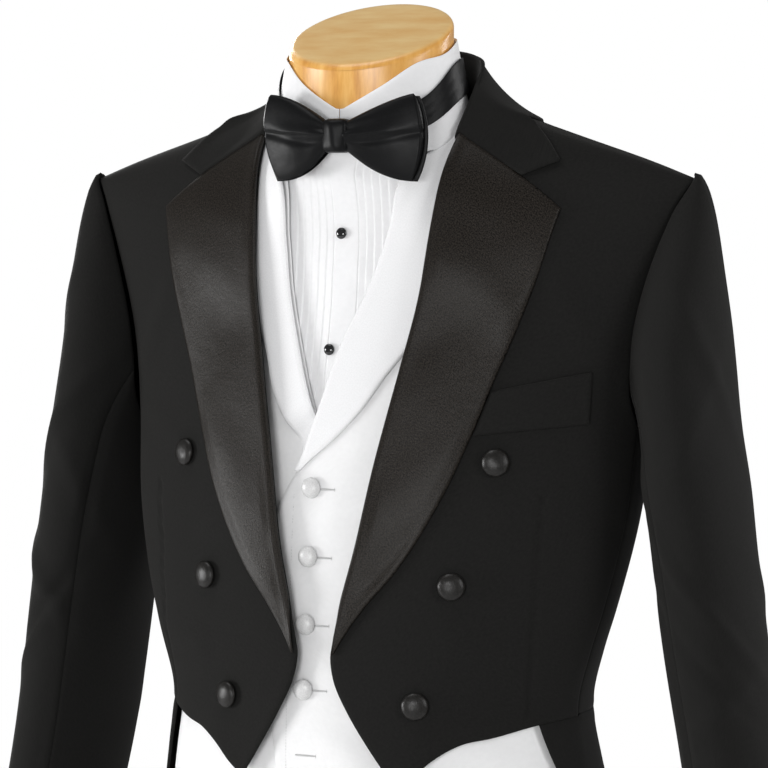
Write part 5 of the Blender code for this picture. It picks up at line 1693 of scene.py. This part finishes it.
def button_mesh(name, place, direction, radius, height, gathers=9, uneven=0.010):
    axis = np.array(direction, float) / np.linalg.norm(direction)
    helper = np.array((0.0, 0.0, 1.0))
    across = np.cross(helper, axis)
    across /= np.linalg.norm(across)
    upward = np.cross(axis, across)
    turns = np.linspace(0.0, 2.0 * math.pi, DOME_SEGMENTS, endpoint=False)
    vertices, uv = [], []
    for share, rise in BUTTON_PROFILE:
        edge = uneven * share ** 4 * np.cos(gathers * turns)
        fold = 0.05 * share * np.cos(2.0 * turns + 0.9 * gathers) * rise
        for turn, extra, swell in zip(turns, edge, fold):
            spoke = across * math.cos(turn) + upward * math.sin(turn)
            rim = np.array(place) + spoke * radius * (share + extra)
            vertices.append(rim + axis * height * (rise + swell))
            uv.append((radius * share * math.cos(turn), radius * share * math.sin(turn)))
    vertices.append(np.array(place) + axis * height)
    uv.append((0.0, 0.0))
    faces = []
    count = DOME_SEGMENTS
    for ring in range(len(BUTTON_PROFILE) - 1):
        for step in range(count):
            a, b = ring * count + step, ring * count + (step + 1) % count
            faces.append((a, b, b + count, a + count))
    top = len(vertices) - 1
    last = (len(BUTTON_PROFILE) - 1) * count
    faces += [(last + step, last + (step + 1) % count, top) for step in range(count)]
    faces.append(tuple(reversed(range(count))))
    mesh = bpy.data.meshes.new(name)
    mesh.from_pydata([tuple(point) for point in vertices], [], faces)
    layer = mesh.uv_layers.new(name="cloth")
    for loop in mesh.loops:
        layer.data[loop.index].uv = uv[loop.vertex_index]
    if outward_share(mesh) < 0.0:
        mesh.flip_normals()
    mesh.shade_smooth()
    return mesh


# %% Coat buttons, and the pair at the back waist
for side, label in ((1, "left"), (-1, "right")):
    for number, (across, height) in enumerate(COAT_BUTTONS, start=1):
        place, normal = seat_on_body(across, height, BUTTON_OUT)
        flip = np.array((side, 1.0, 1.0))
        name = "coat_button_%s_%d_satin" % (label, number)
        mesh = button_mesh(
            name, place * flip, normal * flip, COAT_BUTTON_RADIUS, COAT_BUTTON_HEIGHT, 8 + number
        )
        add_piece(name, mesh, button_satin, ["coat_button_%s_%d" % (label, number)])
    place, normal = seat_on_body(*WAIST_BUTTON, BUTTON_REAR_OUT, behind=True)
    name = "waist_button_%s_satin" % label
    mesh = button_mesh(name, place * flip, normal * flip, COAT_BUTTON_RADIUS, COAT_BUTTON_HEIGHT)
    add_piece(name, mesh, button_satin, ["waist_button_" + label])

# %% [markdown]
# ## Waistcoat
#
# The waistcoat is white cotton with satin-faced lapels and four covered buttons; the fifth hole stays
# open. It fits closely, so small folds run from the buttons, and the left front lies over the right.

# %% Folds of the waistcoat
VEST_FOLDS = (
    # across, height, across, height, width, lift
    (-0.006, 1.214, 0.060, 1.226, 0.0075, 0.0009),
    (-0.004, 1.165, 0.050, 1.150, 0.0080, -0.0008),
    (0.000, 1.150, 0.066, 1.172, 0.0080, 0.0010),
    (-0.002, 1.112, 0.052, 1.092, 0.0070, 0.0010),
    (0.000, 1.075, 0.058, 1.056, 0.0085, -0.0009),
    (0.006, 1.048, 0.082, 1.020, 0.0090, 0.0012),
    (0.020, 1.265, 0.070, 1.285, 0.0090, 0.0008),
    (0.070, 1.075, 0.130, 1.045, 0.0110, 0.0012),
    (-0.040, 1.230, -0.080, 1.250, 0.0080, 0.0008),
    (-0.036, 1.160, -0.066, 1.186, 0.0075, -0.0008),
    (-0.034, 1.110, -0.070, 1.086, 0.0085, 0.0010),
    (-0.036, 1.060, -0.082, 1.036, 0.0095, 0.0013),
    (-0.090, 1.060, -0.135, 1.030, 0.0110, -0.0010),
    (0.040, 1.330, 0.075, 1.390, 0.0120, 0.0008),
)


def vest_lift(points, u, v):
    return crease_lift(points, VEST_FOLDS) + slow_wave(points, 51, 0.0005)


VEST_EDGE_X, VEST_STITCH_IN = -0.0305, 0.0035


def left_vest_lift(points, u, v):
    """Folds, and the faint ridge of the edge sewn down along the overlap."""
    edge = points[..., 0] - VEST_EDGE_X
    below = smooth((1.25 - points[..., 2]) / 0.02)
    ridge = 0.0004 * below * np.exp(-(((edge - VEST_STITCH_IN) / 0.0016) ** 2))
    return vest_lift(points, u, v) - ridge


panel("vest_front_left_cloth", vest_front_surface(VEST_LEFT_NECK, 1.0), spaced(0, 1, 96), spaced(0, 1, 150),
      vest_cotton, ["vest_front_left"], out=VEST_OUT, wall=VEST_WALL, lift=left_vest_lift)
panel("vest_front_right_cloth", vest_front_surface(VEST_RIGHT_NECK, -1.0),
      spaced(0, 1, 96), spaced(0, 1, 150),
      vest_cotton, ["vest_front_right"], out=right_front_out, wall=VEST_WALL, lift=vest_lift)
panel("vest_back_cloth", vest_back, spaced(0, 1, 90), spaced(0, 1, 80), vest_cotton,
      ["vest_back"], out=VEST_OUT, wall=VEST_WALL, lift=vest_lift)

# %% Satin lapels of the waistcoat
def vest_lapel_lift(points, u, v):
    return slow_wave(points, 55, 0.0004) + 0.0008 * smooth(1.0 - u / 0.18)


def right_lapel_dip(v):
    """Share by which the wearer's right lapel has slipped under the left one."""
    return smooth((0.135 - v) / 0.06)


RIGHT_FOOT, DIP_OUT, DIP_WALL = (1.2680, 1.2560), -0.0082, 0.0007
lapel_rows = spaced(0, 1, 120)
lapel_v = np.repeat(np.array(lapel_rows)[:, None], 40, axis=1)
right_wall = blend(VEST_LAPEL_WALL, DIP_WALL, right_lapel_dip(lapel_v))


def right_lapel_out(u, v):
    return blend(VEST_LAPEL_OUT, DIP_OUT, right_lapel_dip(v))


for label, neck, edge, sign, foot, out, wall in (
    ("left", VEST_LEFT_NECK, VEST_LEFT_LAPEL, 1.0, VEST_LEFT_FOOT, VEST_LAPEL_OUT, VEST_LAPEL_WALL),
    ("right", VEST_RIGHT_NECK, VEST_RIGHT_LAPEL, -1.0, RIGHT_FOOT, right_lapel_out, right_wall),
):
    panel(
        "vest_lapel_%s_satin" % label, vest_lapel_surface(neck, edge, sign, *foot),
        spaced(0, 1, 40), lapel_rows, white_satin, ["vest_lapel_" + label],
        out=out, wall=wall, lift=vest_lapel_lift, roll=0.0006,
    )

# %% Waistcoat buttons
for number, height in enumerate(VEST_BUTTON_HEIGHTS, start=1):
    point = inner_body(np.array(angle_at(VEST_BUTTON_X, height)), np.array(height))
    place = (float(point[0]), float(point[1]) - VEST_OUT - VEST_BUTTON_OUT, height)
    name = "vest_button_%d_satin" % number
    mesh = button_mesh(name, place, (0, -1, 0), VEST_BUTTON_RADIUS, VEST_BUTTON_HEIGHT, 7 + number, 0.014)
    add_piece(name, mesh, shaded_button_white, ["vest_button_%d" % number])
print("waistcoat:", SHEETS[-5:])

# %% [markdown]
# ## Shirt front, stand collar and studs
#
# The shirt front has a flat placket and small tucks that are stitched down beside it. Each tuck rises
# steeply on one side and slopes back on the other, which is what makes its thin shadow. The stand collar
# opens in a V over the neck block.

# %% Tucks on the shirt front
TUCK_HEIGHT = 0.0006


def tucked(u, v):
    """Saw-toothed lift: a flat placket, then small tucks that all fall away from it."""
    beside = (np.abs(u) - PLACKET_HALF_SHARE) / (BIB_HALF_SHARE - PLACKET_HALF_SHARE)
    phase = (beside * PLEATS_A_SIDE) % 1.0
    tooth = np.where(phase < 0.16, smooth(phase / 0.16), 1.0 - (phase - 0.16) / 0.84)
    bib = (beside > 0.0) & (beside < 1.0)
    placket = smooth((PLACKET_HALF_SHARE - np.abs(u)) / 0.012)
    return (np.where(bib, tooth * TUCK_HEIGHT, 0.0) + placket * TUCK_HEIGHT) * (1.0 - 0.9 * v ** 6)


SHIRT_FOLDS = (
    # across, height, across, height, width, lift
    (-0.022, 1.452, 0.012, 1.460, 0.0050, 0.0010),
    (0.012, 1.440, 0.034, 1.452, 0.0050, -0.0007),
    (0.006, 1.395, 0.034, 1.372, 0.0060, 0.0006),
    (-0.030, 1.400, -0.010, 1.385, 0.0060, 0.0006),
)


def shirt_lift(points, u, v):
    return crease_lift(points, SHIRT_FOLDS) + slow_wave(points, 61, 0.0003)


panel("shirt_front_cloth", shirt_front, spaced(-1, 1, 250), spaced(0, 1, 76), shirt_cotton,
      ["shirt_front"], out=tucked, wall=SHIRT_WALL, lift=shirt_lift)
SHIRT_YOKE = [
    (turn, top, base - 0.012 * float(smooth((turn - 20.0) / 25.0) * smooth((125.0 - turn) / 35.0)))
    for turn, top, base in SHIRT_COLLAR
]
panel("shirt_collar_cloth", band_surface(SHIRT_YOKE, 0.0), spaced(0.2, 359.8, 180), spaced(0, 1, 16),
      shirt_cotton, ["shirt_collar"], wall=SHIRT_WALL, inside=neck_axis, roll=0.0002)
for number, (across, height) in enumerate(STUDS, start=1):
    point = inner_body(np.array(angle_at(across, height)), np.array(height))
    place = (float(point[0]), float(point[1]) - SHIRT_OUT - PLEAT_HEIGHT - BUTTON_OUT, height)
    name = "shirt_stud_%d_polish" % number
    mesh = button_mesh(name, place, (0, -1, 0.05), STUD_RADIUS, 0.0026, 1, 0.0)
    add_piece(name, mesh, stud_black, ["shirt_stud_%d" % number])
print("shirt:", SHEETS[-2:])

# %% [markdown]
# ## Bow tie
#
# A ready-tied bow is a folded satin strip pinched by a knot. Pleats fan out from the knot and die away
# towards the ends, and a second layer shows just behind the first. The wing is a grid whose front is
# lifted by those pleats; its end leans in at the foot, as the photographed bow does.

# %% One wing of the bow
# How quickly the upper and the lower edge spread from the knot
BOW_SPREAD = {1: (1.25, 2.0), -1: (1.7, 2.4)}
BOW_ENDS = {1: (0.0575, 0.0635, 0.0560), -1: (0.0560, 0.0590, 0.0490)}


def wing_end(side, level):
    """How far the end reaches at a level from -1 at the foot to 1 at the top."""
    top, middle, foot = BOW_ENDS[side]
    return foot * level * (level - 1) / 2 + middle * (1 - level * level) + top * level * (level + 1) / 2


def wing_grid(side, share, level, back):
    """Points of one face: share 0 at the knot and 1 at the end."""
    start = BOW_KNOT_HALF_WIDTH - 0.0020
    x = start + (wing_end(side, level) - start) * share
    upper, lower = BOW_SPREAD[side]
    left = np.clip(1.0 - share, 0.0, 1.0)
    upper, lower = 1.0 - left ** upper, 1.0 - left ** lower
    half = blend(BOW_KNOT_HALF_HEIGHT * 0.84, BOW_END_HALF_HEIGHT, np.where(level > 0.0, upper, lower))
    z = half * level - 0.0012 * share
    full = np.sqrt(np.clip(1.0 - np.abs(level) ** 3.0, 0.0, 1.0))
    depth = blend(0.0060, 0.0022, smooth(share)) * full
    fan = np.exp(-share / 0.30) * (0.0008 * np.cos(6.4 * level + 0.5 * side) + 0.0004 * np.sin(11.0 * level))
    flap = 0.0011 * smooth((level - 0.02 - 0.10 * share) / 0.05) * smooth(share / 0.25)
    cup = 0.0016 * np.exp(-(((share - 0.62) / 0.22) ** 2 + ((level - 0.15 * side) / 0.5) ** 2))
    fold = 0.0010 * np.exp(-(((level + 0.35 - 0.5 * share) / 0.12) ** 2)) * smooth(share / 0.4)
    y = 0.0048 * share ** 2
    if back:
        y = y + depth * 0.8
    else:
        y = y - depth - (fan + flap + cup - fold) * full
    return np.stack([BOW_CENTRE[0] + side * x, BOW_CENTRE[1] + y, BOW_CENTRE[2] + z], axis=-1)


def wing_mesh(name, side):
    share, level = np.meshgrid(np.linspace(0.0, 1.0, 54), np.linspace(-1.0, 1.0, 54))
    front = wing_grid(side, share, level, False)
    rear = wing_grid(side, share, level, True)
    body = cloth_mesh(name, front, rear)
    tail_share = share * 1.055
    layer = wing_grid(side, tail_share, level * 0.965, True)
    layer[..., 1] += 0.0012
    layer[..., 2] -= 0.0010
    under = layer + np.array((0.0, 0.0011, 0.0))
    tail = cloth_mesh(name + "_tail", layer, under)
    shape = bmesh.new()
    shape.from_mesh(body)
    shape.from_mesh(tail)
    shape.to_mesh(body)
    shape.free()
    bpy.data.meshes.remove(tail)
    body.shade_smooth()
    return body


for side, label in ((1, "left"), (-1, "right")):
    name = "bow_wing_%s_satin" % label
    add_piece(name, wing_mesh(name, side), tie_satin, ["bow_wing_" + label])


# %% Knot and neck band
def knot_mesh(name):
    """Band wrapped round the middle, pinched into three soft pleats."""
    rows, around = 30, 72
    level, turn = np.meshgrid(np.linspace(-1.0, 1.0, rows), np.linspace(0.0, 2.0 * math.pi, around + 1)[:-1])
    level, turn = level.T, turn.T
    end = np.clip(1.0 - np.abs(level) ** 5.0, 0.0, 1.0) ** 0.5
    wide = blend(0.0062, BOW_KNOT_HALF_WIDTH + 0.0010, end) * (1.0 - 0.05 * (1 - level ** 2))
    deep = blend(0.0040, 0.0086, end)
    x = wide * np.sign(np.cos(turn)) * np.abs(np.cos(turn)) ** 0.65
    y = deep * np.sign(np.sin(turn)) * np.abs(np.sin(turn)) ** 0.65
    pleat = 0.00055 * np.cos(x / 0.0021 + 0.8 * level) * (y < 0.0)
    grid = np.stack([
        BOW_CENTRE[0] + x, BOW_CENTRE[1] + y - pleat * end, BOW_CENTRE[2] + BOW_KNOT_HALF_HEIGHT * level,
    ], axis=-1)
    vertices = grid.reshape(-1, 3).tolist()
    faces = []
    for row in range(rows - 1):
        for step in range(around):
            a, b = row * around + step, row * around + (step + 1) % around
            faces.append((a, b, b + around, a + around))
    faces.append(tuple(reversed(range(around))))
    faces.append(tuple((rows - 1) * around + step for step in range(around)))
    mesh = bpy.data.meshes.new(name)
    mesh.from_pydata(vertices, [], faces)
    layer = mesh.uv_layers.new(name="cloth")
    for loop in mesh.loops:
        point = vertices[loop.vertex_index]
        layer.data[loop.index].uv = (point[0], point[2])
    if outward_share(mesh) < 0.0:
        mesh.flip_normals()
    mesh.shade_smooth()
    return mesh


def band_lift(points, u, v):
    """Two shallow pleats along the band."""
    lower, upper = np.exp(-(((v - 0.36) / 0.07) ** 2)), np.exp(-(((v - 0.68) / 0.07) ** 2))
    return -0.00045 * lower - 0.00035 * upper


add_piece("bow_knot_satin", knot_mesh("bow_knot_satin"), tie_satin, ["bow_knot"])
panel("bow_band_satin", band_surface(TIE_BAND, TIE_BAND_OUT), spaced(6, 354, 180), spaced(0, 1, 24),
      tie_satin, ["bow_band"], wall=TIE_WALL, inside=neck_axis, lift=band_lift,
      roll=0.0003)
print("bow band:", SHEETS[-1])

# %% [markdown]
# ## Trousers
#
# The legs are pressed with a crease down the middle of the front and the back, hang straight, and break
# softly above the hem. A satin braid covers the outer seam. The waistband is hidden by the waistcoat.

# %% Pressed creases and breaks
TROUSER_BREAKS = (
    # share round the leg, height, slope, round width, up width, lift
    (0.50, 0.100, 0.02, 0.35, 0.010, 0.0022), (0.35, 0.132, -0.04, 0.30, 0.009, -0.0016),
    (0.62, 0.158, 0.05, 0.28, 0.010, 0.0014), (1.50, 0.470, 0.05, 0.35, 0.014, 0.0020),
    (1.40, 0.505, -0.04, 0.32, 0.014, -0.0014), (1.55, 0.850, 0.08, 0.30, 0.012, 0.0022),
    (0.25, 0.842, -0.18, 0.22, 0.009, 0.0016), (0.40, 0.868, -0.20, 0.20, 0.009, 0.0012),
)


def trouser_lift(side):
    def lift(points, u, height):
        total = slow_wave(points, 71 + side, 0.0009)
        below = smooth((0.90 - height) / 0.10)
        for middle in (0.5, 1.5):
            total = total + 0.0030 * below * np.exp(-(np.abs(u - middle) / 0.035))
        shift = 0.012 * side
        for middle, level, slope, round_width, up_width, rise in TROUSER_BREAKS:
            away = u - middle
            up = (height - level - shift - slope * away) / up_width
            total = total + rise * np.exp(-((away / round_width) ** 2) - up ** 2)
        return total
    return lift


leg_rows = spaced(TROUSER_HEM_Z, TROUSER_TOP_Z, 116)
for side, label in ((1, "left"), (-1, "right")):
    for half, start in (("front", 0.0), ("back", 1.0)):
        panel(
            "trouser_%s_%s_cloth" % (half, label), trouser, spaced(start, start + 1.0, 60), leg_rows,
            trouser_wool, ["trouser_%s_%s" % (half, label)], out=trouser_out,
            wall=TROUSER_WALL, inside=leg_axis, side=side, own_side=True, lift=trouser_lift(side),
        )
    panel(
        "trouser_braid_%s_satin" % label, trouser, spaced(0.955, 1.045, 9), leg_rows, braid_satin,
        ["trouser_braid_" + label],
        out=lambda u, v: trouser_out(u, v) + BRAID_OUT, wall=BRAID_WALL,
        inside=leg_axis, side=side, lift=trouser_lift(side), roll=0.0002,
    )
panel("trouser_waistband_cloth", inner_body, [2.0 * math.pi * k / 128 for k in range(128)],
      spaced(TROUSER_TOP_Z + SEAM_GAP, WAISTBAND_TOP_Z, 14), trouser_wool,
      ["trouser_waistband"], out=WAISTBAND_OUT, wall=WAISTBAND_WALL, closed=True)
print("trousers:", SHEETS[-7:])

# %% [markdown]
# ## Stitches
#
# Buttonholes and topstitching are the smallest things that show. Each is a row of short threads along a
# path, which is what Geometry Nodes do well: the path is resampled by the stitch spacing, a small
# thread is set on every point and turned along the path, and the result is made real. Modelling each
# thread by hand would be slow, and a bump in the material would have no depth.

# %% Node tree that sews along a path
def stitch_tree(thread):
    tree = bpy.data.node_groups.new("stitches_" + thread.name, "GeometryNodeTree")
    sockets = tree.interface
    sockets.new_socket("Geometry", in_out="INPUT", socket_type="NodeSocketGeometry")
    for title, value in (("Spacing", 0.002), ("Length", 0.0015), ("Thickness", 0.0004), ("Turn", 0.0)):
        made = sockets.new_socket(title, in_out="INPUT", socket_type="NodeSocketFloat")
        made.default_value = value
    sockets.new_socket("Geometry", in_out="OUTPUT", socket_type="NodeSocketGeometry")
    nodes, links = tree.nodes, tree.links
    given, result = nodes.new("NodeGroupInput"), nodes.new("NodeGroupOutput")
    curve, spread = nodes.new("GeometryNodeMeshToCurve"), nodes.new("GeometryNodeResampleCurve")
    spread.mode = "LENGTH"
    links.new(given.outputs["Geometry"], curve.inputs["Mesh"])
    links.new(curve.outputs["Curve"], spread.inputs["Curve"])
    links.new(given.outputs["Spacing"], spread.inputs["Length"])
    stitch = nodes.new("GeometryNodeMeshCylinder")
    stitch.inputs["Vertices"].default_value = 6
    half = nodes.new("ShaderNodeMath")
    half.operation = "MULTIPLY"
    half.inputs[1].default_value = 0.5
    links.new(given.outputs["Thickness"], half.inputs[0])
    links.new(half.outputs[0], stitch.inputs["Radius"])
    links.new(given.outputs["Length"], stitch.inputs["Depth"])
    tangent = nodes.new("GeometryNodeInputTangent")
    align = nodes.new("FunctionNodeAlignRotationToVector")
    align.axis = "Z"
    links.new(tangent.outputs["Tangent"], align.inputs["Vector"])
    turn = nodes.new("FunctionNodeRotateRotation")
    turn.rotation_space = "GLOBAL"
    by_axis = nodes.new("FunctionNodeAxisAngleToRotation")
    by_axis.inputs["Axis"].default_value = (0.0, 1.0, 0.0)
    links.new(given.outputs["Turn"], by_axis.inputs["Angle"])
    links.new(align.outputs["Rotation"], turn.inputs["Rotation"])
    links.new(by_axis.outputs["Rotation"], turn.inputs["Rotate By"])
    place = nodes.new("GeometryNodeInstanceOnPoints")
    links.new(spread.outputs["Curve"], place.inputs["Points"])
    links.new(stitch.outputs["Mesh"], place.inputs["Instance"])
    links.new(turn.outputs["Rotation"], place.inputs["Rotation"])
    real, finish = nodes.new("GeometryNodeRealizeInstances"), nodes.new("GeometryNodeSetMaterial")
    finish.inputs["Material"].default_value = thread
    links.new(place.outputs["Instances"], real.inputs["Geometry"])
    links.new(real.outputs["Geometry"], finish.inputs["Geometry"])
    links.new(finish.outputs["Geometry"], result.inputs["Geometry"])
    return tree


STITCH_TREES = {thread.name: stitch_tree(thread) for thread in (white_thread, black_thread)}


# %% Sew along paths
def sew(name, paths, thread, spacing, length, thickness, turn=0.0):
    """Plain mesh of the threads along paths given as lists of points."""
    points, edges = [], []
    for path in paths:
        first = len(points)
        points += [tuple(point) for point in path]
        edges += [(first + step, first + step + 1) for step in range(len(path) - 1)]
    line = bpy.data.meshes.new(name + "_line")
    line.from_pydata(points, edges, [])
    guide = bpy.data.objects.new(name + "_line", line)
    bpy.context.collection.objects.link(guide)
    modifier = guide.modifiers.new("sewing", "NODES")
    tree = STITCH_TREES[thread.name]
    modifier.node_group = tree
    sizes = {"Spacing": spacing, "Length": length, "Thickness": thickness, "Turn": turn}
    for socket in tree.interface.items_tree:
        if socket.in_out == "INPUT" and socket.name in sizes:
            modifier[socket.identifier] = sizes[socket.name]
    seen = guide.evaluated_get(bpy.context.evaluated_depsgraph_get())
    mesh = bpy.data.meshes.new_from_object(seen)
    mesh.name = name
    guide.modifiers.remove(modifier)
    bpy.data.objects.remove(guide, do_unlink=True)
    bpy.data.meshes.remove(line)
    mesh.materials.clear()
    mesh.shade_smooth()
    mesh.set_sharp_from_angle(angle=math.radians(40.0))
    return add_piece(name, mesh, thread)


# %% Paths that lie on the cloth
def on_front(across, height, lift):
    """Point on the waistcoat's front, with the same folds as the cloth itself."""
    angle = float(angle_at(across, height))
    points, normals = surface(
        inner_body, (angle - 1e-3, angle, angle + 1e-3), (height - 1e-3, height, height + 1e-3), body_axis
    )
    fold = float(left_vest_lift(points[1, 1][None], None, None)[0])
    return points[1, 1] + normals[1, 1] * (VEST_OUT + fold + lift)


HOLE_START, HOLE_END, EMPTY_HOLE_Z = -0.0050, 0.0070, 1.0488


def buttonhole(height, start=HOLE_START, end=HOLE_END):
    """Loop round a slit, with a rounder eye at the button's end."""
    path = []
    for turn in np.linspace(0.0, 2.0 * math.pi, 44):
        eye = 0.00040 * math.exp(-((math.cos(turn) + 1.0) / 0.5) ** 2)
        across = (start + end) / 2 + (end - start) / 2 * math.cos(turn)
        path.append(on_front(across, height + (0.00036 + eye) * math.sin(turn), 0.0001))
    return path


def end_bar(height, across):
    """Short bar that closes the buttonhole at its far end."""
    return [on_front(across, height + rise, 0.00025) for rise in (-0.0011, 0.0, 0.0011)]


holes = [buttonhole(height) for height in VEST_BUTTON_HEIGHTS]
holes += [end_bar(height, HOLE_END) for height in VEST_BUTTON_HEIGHTS]
holes += [buttonhole(EMPTY_HOLE_Z, -0.0185, -0.0010), end_bar(EMPTY_HOLE_Z, -0.0010)]
sew("vest_buttonholes", holes, white_thread, 0.00040, 0.0007, 0.00022, math.pi / 2)
edge_z = np.linspace(0.990, 1.235, 120)
sew("vest_edge_stitch", [[on_front(-0.0270, z, 0.0001) for z in edge_z]], white_thread,
    0.0022, 0.0015, 0.00030)

# %% [markdown]
# ## Floor, light and camera
#
# The photograph is a studio cut-out: white behind, and soft light from both sides that leaves the black
# cloth readable. A pale floor, a white world and a few large soft lights give that. The world is seen as
# plain white but lights the scene only weakly, so that the black wool stays black.

# %% Floor and world
FLOOR_RADIUS = 4.0
floor_mesh = bpy.data.meshes.new("floor")
floor_mesh.from_pydata(
    [(FLOOR_RADIUS * math.cos(turn), FLOOR_RADIUS * math.sin(turn), -0.0005)
     for turn in np.linspace(0.0, 2.0 * math.pi, 96, endpoint=False)],
    [], [tuple(range(96))],
)
floor_finish, _, _ = new_finish("floor_paint", (0.86, 0.86, 0.86), 0.75)
floor_mesh.materials.append(floor_finish)
floor = bpy.data.objects.new("floor", floor_mesh)
bpy.context.collection.objects.link(floor)

world = bpy.data.worlds.new("studio")
bpy.context.scene.world = world
world.use_nodes = True
sky = world.node_tree
seen_white = sky.nodes["Background"]
seen_white.inputs["Color"].default_value = (1.0, 1.0, 1.0, 1.0)
WORLD_LIGHT = 0.24
path_kind = sky.nodes.new("ShaderNodeLightPath")
strength = sky.nodes.new("ShaderNodeMapRange")
strength.inputs["To Min"].default_value = WORLD_LIGHT
strength.inputs["To Max"].default_value = 1.0
sky.links.new(path_kind.outputs["Is Camera Ray"], strength.inputs["Value"])
sky.links.new(strength.outputs["Result"], seen_white.inputs["Strength"])


# %% Soft studio lights
LIGHTS = (
    # name, place, aim, width, height, watts
    ("front_box", (0.45, -3.55, 1.35), (0.0, 0.0, 1.20), 1.3, 0.8, 42.0),
    ("left_box", (-2.86, -1.70, 1.10), (0.0, 0.0, 1.15), 1.0, 0.8, 58.0),
    ("right_box", (3.00, -0.85, 2.00), (0.0, 0.0, 1.20), 1.0, 1.8, 30.0),
    ("top", (-0.60, -0.8, 3.6), (0.0, 0.0, 1.30), 1.2, 1.2, 16.0),
    ("rear_left", (-2.4, 1.9, 2.2), (0.0, 0.0, 1.20), 0.6, 2.0, 44.0),
    ("rear_right", (2.2, 2.3, 2.2), (0.0, 0.0, 1.20), 0.8, 2.0, 34.0),
)
for name, place, aim, width, height, watts in LIGHTS:
    lamp = bpy.data.lights.new(name, "AREA")
    lamp.shape, lamp.size, lamp.size_y, lamp.energy = "RECTANGLE", width, height, watts
    light = bpy.data.objects.new(name, lamp)
    light.location = place
    light.rotation_euler = (Vector(aim) - Vector(place)).to_track_quat("-Z", "Y").to_euler()
    light.visible_camera = False
    bpy.context.collection.objects.link(light)

# %% Camera at the photograph's angle
CAMERA_AZIMUTH, CAMERA_ELEVATION, CAMERA_DISTANCE = math.radians(27.0), math.radians(3.0), 3.0
CAMERA_AIM = Vector((-0.01042, -0.00531, 1.3055))
camera_data = bpy.data.cameras.new("camera")
camera_data.sensor_width = 36.0
camera_data.lens = 192.8
camera = bpy.data.objects.new("camera", camera_data)
reach = CAMERA_DISTANCE * math.cos(CAMERA_ELEVATION)
camera.location = CAMERA_AIM + Vector((
    reach * math.sin(CAMERA_AZIMUTH), -reach * math.cos(CAMERA_AZIMUTH),
    CAMERA_DISTANCE * math.sin(CAMERA_ELEVATION),
))
camera.rotation_euler = (CAMERA_AIM - camera.location).to_track_quat("-Z", "Y").to_euler()
bpy.context.collection.objects.link(camera)
bpy.context.scene.camera = camera
bpy.context.scene.view_settings.view_transform = "Standard"
print("camera", [round(value, 4) for value in camera.location])

# %% The sheets and their sizes, printed
for row in SHEETS:
    print("sheet", row)
